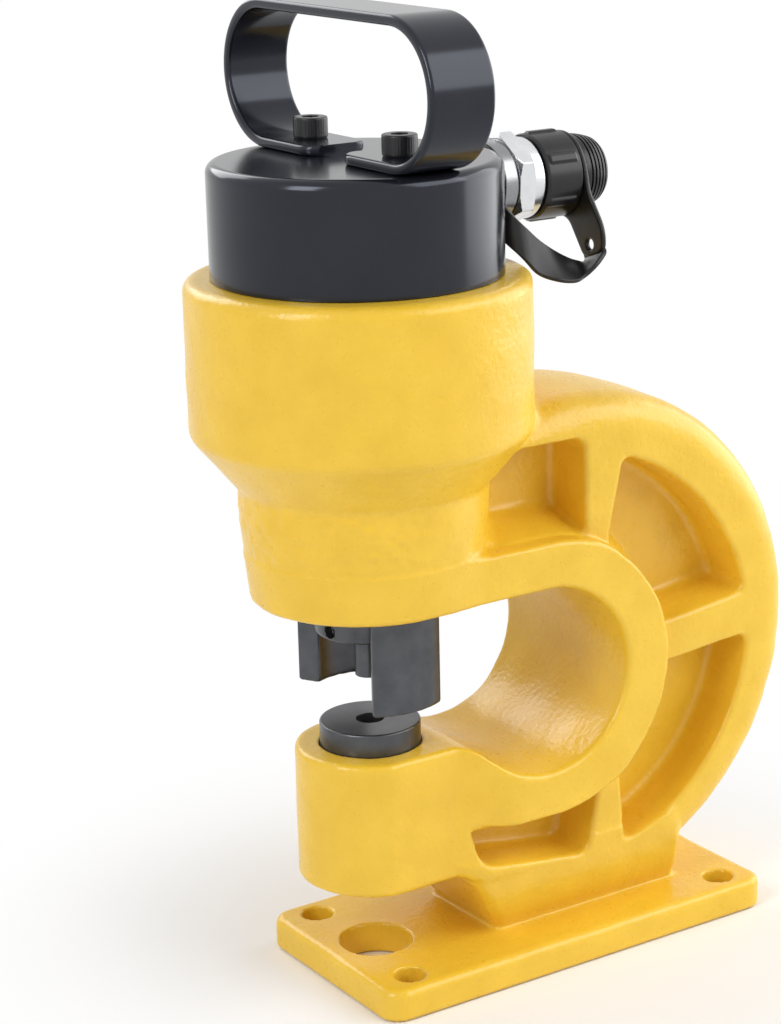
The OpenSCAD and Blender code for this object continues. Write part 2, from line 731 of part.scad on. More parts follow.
// Nipple: thread in the port, neck for the strap's ring, collar, and stub in the hexagon
module port_nipple() color("silver") difference() {
    union() {
        on_port(spot_x - port_depth + 1) cylinder(d = port_d - 2 * run_gap, h = port_depth + seal_wall);
        on_port(neck_x) cylinder(d = nipple_neck_d, h = nipple_neck_length + 1);
        on_port(collar_x) cylinder(d = collar_d, h = collar_length);
        on_port(hex_x - 1) cylinder(d = stub_d - 2 * run_gap, h = stub_length + 1);
    }
    on_port(0) cylinder(d = oil_hole_d + 1, h = far);
}

module port_seal() color("darkslategray") on_port(spot_x)
    ring(collar_d - 1, port_d + 2 * run_gap, seal_wall);

// Hexagon with a turned shoulder and a threaded nose, bored for the valve
module coupler_body() color("silver") difference() {
    union() {
        on_port(hex_x) rotate(hex_turn) intersection() {
            cylinder(d = hex_flats / cos(30), h = hex_length + 1, $fn = 6);
            rotate_extrude() polygon([[0, 0], [hex_flats / 2 + 0.4, 0], [hex_flats / 2 + 2.6, 1.2],
                [hex_flats / 2 + 2.6, hex_length - 1.2], [hex_flats / 2 + 0.4, hex_length], [0, hex_length]]);
        }
        on_port(hex_x + 1) cylinder(d = turned_d, h = hex_length + turned_length - 1);
        on_port(nose_x - 1) cylinder(d = nose_d, h = nose_length + 1);
    }
    on_port(hex_x - 1) cylinder(d = stub_d, h = stub_length + 1);
    on_port(guide_x - 1) cylinder(d = valve_bore_d, h = seat_x - guide_x + 1);
    on_port(seat_x) cylinder(d1 = valve_bore_d, d2 = seat_d, h = seat_cone_h);
    on_port(seat_x) cylinder(d = seat_d, h = far);
    on_port(mouth_x) cylinder(d = mouth_d, h = far);
    on_port(oring_x - oring_wire / 2) cylinder(d = mouth_d + oring_wire, h = oring_wire);
}

// Disc that carries the valve's stem, with holes for the oil
module coupler_valve_guide() color("darkgray") on_port(guide_x) difference() {
    cylinder(d = valve_bore_d - 2 * run_gap, h = guide_h);
    translate([0, 0, -1]) cylinder(d = valve_stem_d + 2 * run_gap, h = far);
    for (i = [0:3]) rotate(90 * i + 45) translate([valve_spring_r, 0, -1]) cylinder(d = 2.4, h = far);
}

module coupler_poppet() color("gray") {
    on_port(guide_x - 3) cylinder(d = valve_stem_d, h = valve_head_x - guide_x + 4);
    on_port(valve_head_x) cylinder(d = valve_head_d, h = valve_head_h);
    on_port(valve_head_x + valve_head_h)
        cylinder(d1 = valve_head_d, d2 = seat_d - 1.2, h = seat_cone_h);
    on_port(valve_head_x + valve_head_h + seat_cone_h - 0.5) cylinder(d = seat_d - 1.2, h = 2);
}

module coupler_spring() color("slategray") on_port(guide_x + guide_h)
    helix(valve_spring_r, valve_spring_wire, valve_head_x - guide_x - guide_h, valve_spring_turns);

module coupler_oring() color("darkslategray") on_port(oring_x)
    rotate_extrude() translate([mouth_d / 2, 0]) circle(d = oring_wire - 2 * run_gap);

// Plastic cap: skirt with grip ribs, groove for the strap's eye, and a ridged end
module dust_cap() color("black") on_port(cap_x) difference() {
    union() {
        rotate(180 / cap_ribs) cylinder(d = cap_d, h = cap_skirt);
        for (i = [0:cap_ribs - 1]) rotate(360 / cap_ribs * i)
            translate([cap_d / 2 - cap_rib_sink, -cap_rib_w / 2, cap_rib_inset])
                cube([cap_rib_sink + cap_rib_rise, cap_rib_w, cap_skirt - 2 * cap_rib_inset]);
        cylinder(d = cap_groove_d, h = cap_skirt + cap_groove_w + 1);
        translate([0, 0, cap_skirt + cap_groove_w]) rotate_extrude() polygon(cap_end_outline());
    }
    translate([0, 0, -1]) cylinder(d = nose_d + 2 * run_gap, h = nose_length + 1);
}

// Outline of the ridged end, as radius and height, drawn from the groove to the rounded tip
function cap_end_outline() = let (pitch = cap_end_length / (cap_ridges + 1))
    concat([[0, 0]],
    [for (i = [0:cap_ridges - 1], k = [0:3])
        let (h = pitch * (i + [0, 0.6, 0.7, 0.95][k]), sink = [0, 0, 1, 1][k] * cap_ridge_deep,
            t = h / cap_end_length)
        [cap_end_d / 2 - (cap_end_d - cap_tip_d) / 2 * t * t - sink, h]],
    [[cap_tip_d / 2, pitch * cap_ridges], [cap_tip_d / 2 - 2, cap_end_length], [0, cap_end_length]]);

// Points along one edge of the strap's band, by a curve through the chosen points
function band_at(points, s) = let (i = min(floor(s), len(points) - 2), t = s - i,
    a = points[max(i - 1, 0)], b = points[i], c = points[i + 1], d = points[min(i + 2, len(points) - 1)])
    ((2 * b) + (c - a) * t + (2 * a - 5 * b + 4 * c - d) * t * t + (3 * b - a - 3 * c + d) * t * t * t) / 2;

function band_place(p) = [strap_ring_x + strap_thick / 2 + p.x * (eye_x - strap_ring_x), p.y, p.z + port_z];

module strap_band() {
    count = (len(band_inner) - 1) * band_steps;
    inner = [for (i = [0:count]) band_place(band_at(band_inner, i / band_steps))];
    outer = [for (i = [0:count]) band_place(band_at(band_outer, i / band_steps))];
    middle = (inner + outer) / 2;
    points = [for (i = [0:count]) let (
        along = middle[min(i + 1, count)] - middle[max(i - 1, 0)],
        face = unit(cross(along, outer[i] - inner[i])) * band_thick / 2)
        each [inner[i] + face, inner[i] - face, outer[i] - face, outer[i] + face]];
    polyhedron(points, tube_faces(count, 4));
}

// Eye round the cap with its tab, whose end slants to meet the folded band
module dust_cap_strap() color("black") {
    on_port(eye_x) linear_extrude(strap_thick) difference() {
        union() {
            circle(d = eye_d + 2 * eye_wall);
            rotate(-tab_turn) polygon([[0, tab_far], [0, -tab_near], [tab_near_length, -tab_near],
                [tab_mid_length, -tab_mid], [tab_far_length, tab_far]]);
        }
        circle(d = eye_d);
        rotate(-tab_turn) translate([tab_hole_r, -tab_hole_side]) circle(d = tab_hole_d);
    }
    on_port(strap_ring_x)
        ring(nipple_neck_d + 2 * pass_gap + 2 * strap_ring_wall, nipple_neck_d + 2 * pass_gap, strap_thick);
    on_axis() strap_band();
}

base_plate();
c_frame();
frame_head();
cylinder_barrel();
guide_bush();
rod_wiper();
ram();
piston();
piston_bolt();
piston_seal();
piston_backup_ring();
piston_wear_ring();
return_spring();
punch_nut();
punch();
stripper();
stripper_bolts();
die();
die_set_screw();
handle_strap();
handle_bolts();
port_nipple();
port_seal();
coupler_body();
coupler_valve_guide();
coupler_poppet();
coupler_spring();
coupler_oring();
dust_cap();
dust_cap_strap();
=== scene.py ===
# %% [markdown]
# # A hydraulic hole punch
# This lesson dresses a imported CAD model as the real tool: a yellow casting with a black cylinder on top,
# a bright oil coupler under a plastic cap, and a dark punch and stripper in the mouth of the C.
# The CAD nodes stay where they are. Pieces that can be seen get a finer surface worked out with numpy,
# and the hidden ones only get a finish.

import json
import math
from functools import reduce

import bpy
import numpy as np
from mathutils import Matrix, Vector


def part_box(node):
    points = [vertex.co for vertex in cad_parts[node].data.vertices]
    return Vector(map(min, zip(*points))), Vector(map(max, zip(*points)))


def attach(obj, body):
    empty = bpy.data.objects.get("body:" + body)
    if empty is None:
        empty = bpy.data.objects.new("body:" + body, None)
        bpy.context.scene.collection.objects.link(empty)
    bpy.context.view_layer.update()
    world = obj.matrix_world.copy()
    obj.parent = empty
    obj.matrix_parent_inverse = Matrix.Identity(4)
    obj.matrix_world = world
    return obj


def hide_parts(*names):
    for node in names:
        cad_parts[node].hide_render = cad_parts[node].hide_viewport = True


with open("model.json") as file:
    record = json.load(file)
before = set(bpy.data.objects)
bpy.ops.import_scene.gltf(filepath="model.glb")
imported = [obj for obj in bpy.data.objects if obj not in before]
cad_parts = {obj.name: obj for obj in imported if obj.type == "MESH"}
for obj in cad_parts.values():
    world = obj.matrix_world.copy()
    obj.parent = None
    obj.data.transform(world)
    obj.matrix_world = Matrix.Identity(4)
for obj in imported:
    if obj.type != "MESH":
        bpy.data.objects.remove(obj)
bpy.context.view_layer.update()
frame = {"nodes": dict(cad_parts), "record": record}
MM = 0.001


def cad_box(node):
    """Lowest and highest corner of a CAD node, in millimetres."""
    return np.array([[float(v) for v in corner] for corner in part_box(node)]) / MM


axis_x = cad_box("die")[:, 0].mean()
print("the punch axis stands at x =", round(axis_x, 2), "mm")

# %% [markdown]
# ## Heights and radii that the pieces share
# Everything on this tool is stacked along the punch axis, so most sizes are heights above the bench or
# radii about that axis. They come from the CAD boxes where a box shows them, and from the tool's own
# dimensions where it doesn't. All the shapes below are worked out in millimetres from the punch axis.

# %% shared sizes
barrel_box, stripper_box = cad_box("cylinder_barrel"), cad_box("stripper")
die_box, nut_box = cad_box("die"), cad_box("punch_nut")
barrel_stand, stripper_ring_height, mouth_height, jaw_height = 43.0, 12.0, 61.0, 55.3
port_drop, base_thick = 15.0, 13.0
spigot_bottom, barrel_top = barrel_box[:, 2]
barrel_r = (barrel_box[1, 1] - barrel_box[0, 1]) / 2
head_top = barrel_top - barrel_stand
under_z = stripper_box[1, 2] - stripper_ring_height
jaw_top = under_z - mouth_height
jaw_bottom = jaw_top - jaw_height
port_z = barrel_top - port_drop
print("underside of the head", round(under_z, 2), "top of the jaw", round(jaw_top, 2))


# %% [markdown]
# ## From arrays to a mesh
# A grid of points becomes a skin of four-sided faces. Blender can build such a mesh from Python lists,
# but foreach_set takes whole arrays and is far quicker. A closed skin has a signed volume, so its sign
# tells whether the faces point outwards, and the faces are turned round if they don't.

# %% mesh helpers
def signed_volume(points, faces):
    """One sixth of the sum of a . (b x c) over each face's fan of triangles."""
    total = 0.0
    for corners in faces:
        a = points[corners[:, 0]]
        for k in range(1, corners.shape[1] - 1):
            total += np.einsum("ij,ij->", a, np.cross(points[corners[:, k]], points[corners[:, k + 1]]))
    return total / 6.0


def outward(points, faces):
    """The faces, turned round if the closed skin's volume comes out negative."""
    return faces if signed_volume(points, faces) > 0 else [f[:, ::-1] for f in faces]


def joined(*shells):
    """Several (points, faces) shells as one."""
    points, faces, start = [], [], 0
    for shell_points, shell_faces in shells:
        points.append(shell_points)
        faces += [f + start for f in outward(shell_points, shell_faces)]
        start += len(shell_points)
    return np.concatenate(points), faces


def in_scene(name, data):
    """A new object for a mesh, a lamp or a camera, linked to the scene."""
    obj = bpy.data.objects.new(name, data)
    bpy.context.scene.collection.objects.link(obj)
    return obj


def piece(name, shell, nodes, finish, crease=None):
    """Puts a shell, in millimetres from the punch axis, in the frame for the CAD nodes that it stands for."""
    points, faces = shell
    faces = outward(points, faces)
    sizes = np.concatenate([np.full(len(f), f.shape[1]) for f in faces]).astype(np.int32)
    corners = np.concatenate([f.ravel() for f in faces]).astype(np.int32)
    starts = np.concatenate([[0], np.cumsum(sizes)[:-1]]).astype(np.int32)
    mesh = bpy.data.meshes.new(name)
    mesh.vertices.add(len(points))
    mesh.vertices.foreach_set("co", ((points + [axis_x, 0, 0]) * MM).astype(np.float32).ravel())
    mesh.loops.add(len(corners))
    mesh.loops.foreach_set("vertex_index", corners)
    mesh.polygons.add(len(sizes))
    mesh.polygons.foreach_set("loop_start", starts)
    mesh.polygons.foreach_set("use_smooth", np.ones(len(sizes), bool))
    mesh.update(calc_edges=True)
    mesh.validate()
    if crease:
        mesh.set_sharp_from_angle(angle=math.radians(crease))
    mesh.materials.append(finish)
    obj = in_scene(name, mesh)
    body = next(b for b, members in frame["record"]["behaviour"]["bodies"].items() if nodes[0] in members)
    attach(obj, body)
    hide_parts(*nodes)
    print(name, "on", body, ":", len(points), "points,", int((sizes - 2).sum()), "triangles")
    return obj


# %% [markdown]
# ## Profiles with rounded corners
# Real edges are never knife-sharp: even a machined corner has a small round that catches the light.
# A profile is a list of corners with a radius each. Every corner becomes an arc, and a support point on
# each side of it keeps the flat stretches looking flat under smooth shading.

# %% rounded profiles
def rounded(corners, closed=False, steps=6):
    """Corners (x, y, radius) as points: each corner is an arc tangent to its two sides."""
    most_of_side, support_share, too_short = 0.49, 0.35, 1e-6
    count = len(corners)
    out = []
    for i, (x, y, radius) in enumerate(corners):
        here = np.array([x, y], float)
        if radius <= 0 or (not closed and i in (0, count - 1)):
            out.append(here)
            continue
        before = np.array(corners[i - 1][:2], float) - here
        after = np.array(corners[(i + 1) % count][:2], float) - here
        room = min(np.linalg.norm(before), np.linalg.norm(after)) * most_of_side
        before /= np.linalg.norm(before)
        after /= np.linalg.norm(after)
        half = math.acos(float(np.clip(before @ after, -1, 1))) / 2
        reach = min(radius / math.tan(half), room)
        radius = reach * math.tan(half)
        middle = before + after
        centre = here + middle / np.linalg.norm(middle) * radius / math.sin(half)
        start, end = here + before * reach - centre, here + after * reach - centre
        turn = math.atan2(start[0] * end[1] - start[1] * end[0], start @ end)
        angles = np.linspace(0, turn, steps + 1)[:, None]
        arc = centre + start * np.cos(angles) + np.array([-start[1], start[0]]) * np.sin(angles)
        support = min(radius * support_share, room - reach)
        if support > too_short:
            arc = np.vstack([arc[0] + before * support, arc, arc[-1] + after * support])
        out += list(arc)
    return np.array(out)


def straight(r, low, high, steps):
    """A stretch of a profile between two heights, cut into steps: (r, low) to (r, high)."""
    return np.stack([np.full(steps, r), np.linspace(low, high, steps)], axis=1)


# %% grids of faces and turned pieces
def grid_faces(rows, columns, wrap_rows=False):
    """Four-sided faces of a grid of points, numbered row by row, whose columns close up to a ring."""
    r = np.arange(rows if wrap_rows else rows - 1)
    r, c = [v.ravel() for v in np.meshgrid(r, np.arange(columns), indexing="ij")]
    r2, c2 = (r + 1) % rows, (c + 1) % columns
    return np.stack([r * columns + c, r * columns + c2, r2 * columns + c2, r2 * columns + c], axis=1)


def fan(ring, pole, flip=False):
    """Triangles from a ring of point numbers to one pole."""
    tri = np.stack([ring, np.roll(ring, -1), np.full(len(ring), pole)], axis=1)
    return tri[:, ::-1] if flip else tri


def capped(rings):
    """A stack of rings, points[i, j], closed by a fan to the middle of its first and its last ring."""
    rows, columns = rings.shape[:2]
    points = np.concatenate([rings.reshape(-1, 3), [rings[0].mean(axis=0)], [rings[-1].mean(axis=0)]])
    first, last = np.arange(columns), np.arange(columns) + (rows - 1) * columns
    ends = [fan(first, rows * columns, flip=True), fan(last, rows * columns + 1)]
    return points, [grid_faces(rows, columns)] + ends


def turned(profile, steps=128, shape=None, closed=False):
    """A profile (r, h) spun about Z: (r cos a, r sin a, h), where shape(r, a, h) may change r."""
    angles = np.arange(steps) * 2 * math.pi / steps
    r = np.repeat(profile[:, :1], steps, axis=1)
    h = np.repeat(profile[:, 1:], steps, axis=1)
    if shape:
        r = shape(r, angles[None, :], h)
    rings = np.stack([r * np.cos(angles), r * np.sin(angles), h], axis=2)
    if closed:
        return rings.reshape(-1, 3), [grid_faces(len(profile), steps, wrap_rows=True)]
    return capped(rings)


def along_x(shell, z):
    """A shell that was made along Z, laid along X with its axis at height z."""
    points, faces = shell
    return np.stack([points[:, 2], points[:, 1], z - points[:, 0]], axis=1), faces


def hexagon(angles, flats, turn=0.0):
    """Radius at each angle: half the flats over the cosine of the angle from the nearest flat."""
    sixth = math.pi / 3
    return flats / 2 / np.cos((angles + turn) % sixth - sixth / 2)


# %% [markdown]
# ## Finishes
# Paint, blackened steel and plastic all break up a little over their surface. One node group gives that
# break-up: a slow cloud, a fine grain and a height for the Bump node. Each material then puts its own
# colours and amounts on it, and keeps its own Principled shader.

# %% the shared break-up group
def link(tree, a, b):
    """Links an output socket to an input socket."""
    tree.links.new(a, b)


def set_inputs(node, values):
    """Gives plain values to a node's sockets, by the sockets' names."""
    for name, value in values.items():
        node.inputs[name].default_value = value


def surface_group():
    """A node group: Object coordinates in, and a slow cloud, a fine grain and a mixed height out."""
    group = bpy.data.node_groups.new("surface_break_up", "ShaderNodeTree")
    for name, value in (("Cloud Scale", 40.0), ("Grain Scale", 400.0), ("Grain Share", 0.5)):
        socket = group.interface.new_socket(name, in_out="INPUT", socket_type="NodeSocketFloat")
        socket.default_value = value
    for name in ("Cloud", "Grain", "Height"):
        group.interface.new_socket(name, in_out="OUTPUT", socket_type="NodeSocketFloat")
    nodes = group.nodes
    inputs, outputs = nodes.new("NodeGroupInput"), nodes.new("NodeGroupOutput")
    place, mixed = nodes.new("ShaderNodeTexCoord"), nodes.new("ShaderNodeMix")
    link(group, inputs.outputs["Grain Share"], mixed.inputs[0])
    for name, detail, mix_socket in (("Cloud", 3.0, 2), ("Grain", 2.0, 3)):
        noise = nodes.new("ShaderNodeTexNoise")
        set_inputs(noise, {"Detail": detail})
        link(group, place.outputs["Object"], noise.inputs["Vector"])
        link(group, inputs.outputs[name + " Scale"], noise.inputs["Scale"])
        link(group, noise.outputs["Fac"], mixed.inputs[mix_socket])
        link(group, noise.outputs["Fac"], outputs.inputs[name])
    link(group, mixed.outputs[0], outputs.inputs["Height"])
    return group


break_up = surface_group()
print("made the group", break_up.name, "with", len(break_up.nodes), "nodes")

# %% [markdown]
# Noise seldom comes near 0 or 1, so colour and roughness are spread over the middle of its range. A
# finish whose roughness is the same all over has it set on the shader itself.

# %% one function for every finish
noise_low, noise_high = 0.3, 0.7


def finish(name, low, high, rough, metallic=0.0, cloud=40.0, grain=400.0, share=0.5, bump=0.0,
           bump_depth=0.0005, specular=0.5, tint=(1, 1, 1)):
    """A Principled material: colour over the cloud, roughness over the grain, bump from the height."""
    material = bpy.data.materials.new(name)
    material.use_nodes = True
    tree = material.node_tree
    shader = tree.nodes["Principled BSDF"]
    skin = tree.nodes.new("ShaderNodeGroup")
    skin.node_tree = break_up
    set_inputs(skin, {"Cloud Scale": cloud, "Grain Scale": grain, "Grain Share": share})
    ramp = tree.nodes.new("ShaderNodeValToRGB")
    for stop, at, colour in zip(ramp.color_ramp.elements, (noise_low, noise_high), (low, high)):
        stop.position = at
        stop.color = (*colour, 1)
    link(tree, skin.outputs["Cloud"], ramp.inputs["Fac"])
    link(tree, ramp.outputs["Color"], shader.inputs["Base Color"])
    set_inputs(shader, {"Metallic": metallic, "Roughness": rough[0], "Specular IOR Level": specular,
                        "Specular Tint": (*tint, 1)})
    if rough[0] != rough[1]:
        spread = tree.nodes.new("ShaderNodeMapRange")
        set_inputs(spread, {"From Min": noise_low, "From Max": noise_high, "To Min": rough[0],
                            "To Max": rough[1]})
        link(tree, skin.outputs["Grain"], spread.inputs["Value"])
        link(tree, spread.outputs["Result"], shader.inputs["Roughness"])
    if bump:
        relief = tree.nodes.new("ShaderNodeBump")
        set_inputs(relief, {"Strength": bump, "Distance": bump_depth})
        link(tree, skin.outputs["Height"], relief.inputs["Height"])
        link(tree, relief.outputs["Normal"], shader.inputs["Normal"])
    return material


# %% finishes that can be seen
yellow_enamel = finish("yellow_enamel", (0.79, 0.49, 0.030), (0.85, 0.54, 0.040), (0.27, 0.32),
                       cloud=60, grain=420, share=0.65, bump=0.42, bump_depth=0.0009)
blued_steel = finish("blued_steel", (0.008, 0.0085, 0.0125), (0.011, 0.0115, 0.016), (0.17, 0.17),
                     cloud=45, grain=700, specular=0.42, tint=(0.82, 0.88, 1.0))
screw_black = finish("screw_black", (0.008, 0.008, 0.010), (0.012, 0.012, 0.014), (0.3, 0.34),
                     cloud=200, grain=1500, specular=0.4)
tool_steel = finish("tool_steel", (0.075, 0.077, 0.084), (0.105, 0.108, 0.116), (0.30, 0.34), metallic=0.8,
                    cloud=120, grain=1600)
zinc_plate = finish("zinc_plate", (0.66, 0.67, 0.68), (0.74, 0.75, 0.76), (0.24, 0.27), metallic=1.0,
                    cloud=150, grain=1200)
turned_steel = finish("turned_steel", (0.27, 0.275, 0.285), (0.34, 0.345, 0.355), (0.22, 0.3), metallic=1.0)
cap_plastic = finish("cap_plastic", (0.009, 0.009, 0.010), (0.015, 0.015, 0.016), (0.28, 0.32), cloud=150,
                     grain=1800, specular=0.35)
print("made", len(bpy.data.materials), "materials")

# %% finishes for the hidden CAD nodes
chromed_rod = finish("chromed_rod", (0.72, 0.73, 0.75), (0.78, 0.79, 0.81), (0.06, 0.12), metallic=1.0)
spring_wire = finish("spring_wire", (0.06, 0.06, 0.065), (0.1, 0.1, 0.105), (0.3, 0.42), metallic=0.9)
bronze = finish("bronze", (0.36, 0.20, 0.07), (0.44, 0.26, 0.10), (0.28, 0.4), metallic=1.0)
seal_rubber = finish("seal_rubber", (0.012, 0.012, 0.012), (0.022, 0.022, 0.022), (0.6, 0.75))
white_plastic = finish("white_plastic", (0.70, 0.68, 0.62), (0.76, 0.74, 0.68), (0.45, 0.55))
hidden_finish = {
    "guide_bush": bronze, "rod_wiper": seal_rubber, "ram": chromed_rod, "piston": turned_steel,
    "piston_bolt": screw_black, "piston_seal": seal_rubber, "piston_backup_ring": white_plastic,
    "piston_wear_ring": white_plastic, "return_spring": spring_wire, "stripper_bolts": screw_black,
    "die_set_screw": screw_black, "port_seal": seal_rubber, "coupler_valve_guide": turned_steel,
    "coupler_poppet": turned_steel, "coupler_spring": spring_wire, "coupler_oring": seal_rubber,
}
for node, material in hidden_finish.items():
    mesh = frame["nodes"][node].data
    mesh.materials.clear()
    mesh.materials.append(material)
print("gave a finish to", len(hidden_finish), "CAD nodes")


# %% [markdown]
# ## The casting
# The yellow body is one iron casting. Its walls lean a little, its edges are round, and every inside
# corner has a fillet where the iron flowed. Box modelling could do it with many loops. Here it is a
# field instead: a number at every point that is negative inside the iron. Soft versions of min and max
# join and cut simple shapes and leave a fillet at every join, as the pattern maker's wax did.

# %% joins
def highest(*fields):
    """The highest of several fields: inside where all of them are."""
    return reduce(np.maximum, fields)


def lowest(*fields):
    """The lowest of several fields: inside where any of them is."""
    return reduce(np.minimum, fields)


def soft_min(a, b, width):
    """The lower of a and b, with a round blend where they differ by less than width: min - h h width / 4."""
    h = np.maximum(width - np.abs(a - b), 0) / width
    return np.minimum(a, b) - h * h * width / 4


def soft_max(a, b, width):
    """The higher of a and b, blended in the same way."""
    return -soft_min(-a, -b, width)


def ease(t):
    """An S from 0 to 1: t t (3 - 2 t)."""
    t = np.clip(t, 0, 1)
    return t * t * (3 - 2 * t)


print("a blend 4 mm wide fills an inside corner by", -float(soft_min(0.0, 0.0, 4.0)), "mm")

# %% sizes of the casting
throat_r, throat_x = 38.0, 58.0
throat_z = under_z - throat_r
ring_r, ring_half, ring_x = 57.6, 42.0, throat_x + 2.2
lip_height, lip_start, lip_round = ring_r - throat_r, 10.0, 15.0
rim_x, rim_z, rim_r, rim_half, rim_crown = throat_x + 25.0, throat_z + 3.6, 104.2, 34.5, 2.2
web_half = 13.0
jaw_half, jaw_nose_r, jaw_end = 28.8, 30.0, 60.0
flare_start, flare_end = 22.0, 40.0
neck_foot_r, neck_r, neck_height, neck_step, head_r = 44.2, 48.0, 34.0, 0.55, 65.4
flare_z = under_z + 45.0
head_z = flare_z + 21.0
base_centre_x = -axis_x
base_half_length, base_half_width, base_corner = 95.0, 47.0, 9.0
foot_front, foot_back, foot_half, foot_top_half = 44.0, 136.5, 22.3, 34.1
overlap = 4.0
print("rim from the punch axis to its back:", rim_x + rim_r + rim_crown, "mm")


# %% [markdown]
# The distance to a wall that leans is taken straight across, which is longer than the true one. So the
# field of such a wall is scaled by about the cosine of its lean. The forms run a few millimetres into
# each other, and their ends are lost in the join.

# %% head, ring and rim as fields
def head_field(u, y, z):
    """Distance to the turned head: radius less a profile of neck, cone and head, whose corners are soft."""
    neck_crease, head_crease, top_edge, cone_scale, foot_drop = 1.4, 1.6, 5.0, 0.85, 6.0
    neck = np.interp(z, [under_z, under_z + neck_height], [neck_foot_r, neck_r])
    neck = neck + neck_step * (1 - ease((z - under_z - lip_height + 1) / 2))
    cone = neck_r + (head_r - neck_r) * (z - flare_z) / (head_z - flare_z)
    profile = soft_min(soft_max(neck, cone, neck_crease), head_r, head_crease)
    side = (np.hypot(u, y) - profile) * cone_scale
    return np.maximum(soft_max(side, z - head_top, top_edge), under_z - foot_drop - z)


def ring_field(u, y, z):
    """Ring, lip and lower jaw: their side views, met by a half width that flares from jaw to ring."""
    flare_crease, ring_shoulder, jaw_shoulder, nose_crease, edge = 1.5, 4.0, 3.0, 0.3, 3.0
    behind_nose = -50.0
    ring = np.hypot(u - ring_x, z - throat_z) - ring_r
    lip = highest(np.abs(z - under_z) - lip_height, u - ring_x, lip_start - u)
    low_lip = highest(throat_z - ring_r - z, z - throat_z, u - ring_x)
    flare = jaw_half + (ring_half - jaw_half) * (u - flare_start) / (flare_end - flare_start)
    flare = np.where(z < throat_z, soft_max(jaw_half, flare, flare_crease), 2 * ring_half)
    nose = np.where(u < 0, np.hypot(u, y) - jaw_nose_r, behind_nose)
    wide = soft_max(np.abs(y) - soft_min(flare, ring_half, ring_shoulder), nose, nose_crease)
    plate = soft_max(lowest(ring, lip, low_lip), wide, edge)
    jaw = highest(jaw_bottom - z, z - jaw_top - overlap, u - jaw_end)
    narrow = soft_max(np.abs(y) - soft_min(flare, rim_half, jaw_shoulder), nose, nose_crease)
    return np.minimum(plate, soft_max(jaw, narrow, edge))


def rim_field(u, y, z):
    """Disc of the C: radius less rim_r less a crown of rim_crown times 1 - (y / rim_half) squared."""
    disc_start, tail_start, tail_run, tail_drop, edge = 30.0, 112.0, 18.0, 8.0, 14.0
    across = np.abs(y)
    crown = rim_crown * np.clip(1 - (across / rim_half) ** 2, 0, 1)
    disc = np.hypot(u - rim_x, z - rim_z) - rim_r - crown
    tail = jaw_bottom - overlap - tail_drop * ease((u - tail_start) / tail_run)
    return soft_max(highest(disc, tail - z, disc_start - u), across - rim_half, edge)


# %% the throat
def throat_field(u, z):
    """The mouth of the C, negative where it is open: round back, flat roof, and a lip that rolls in."""
    back = np.hypot(u - throat_x, z - throat_z) - throat_r
    mouth = highest(jaw_top - z, z - under_z, u - throat_x)
    lip_z = jaw_top - lip_round
    lip_x = throat_x - math.sqrt((throat_r + lip_round) ** 2 - (throat_z - lip_z) ** 2)
    run = np.array([throat_x - lip_x, throat_z - lip_z])
    run /= np.linalg.norm(run)
    above_run = run[1] * (u - lip_x) - run[0] * (z - lip_z)
    roll = lip_round - np.hypot(u - lip_x, z - lip_z)
    roll = highest(above_run, lip_x - u, z - jaw_top - 1, roll)
    return lowest(back, mouth, roll)


# %% [markdown]
# ### Pockets and ribs
# Four pockets on each side lighten the C and leave three ribs between ring and rim. Each pocket is a
# side view with round corners. Its walls lean out by a few degrees so that the pattern can leave the
# sand, and its floor is the web in the middle. The ribs' edges are straight lines through two points.

# %% pockets
def line(u, z, start, end):
    """Distance from the line through start and end, positive on its right-hand side."""
    run = np.array(end, float) - np.array(start, float)
    run /= np.linalg.norm(run)
    return (u - start[0]) * run[1] - (z - start[1]) * run[0]


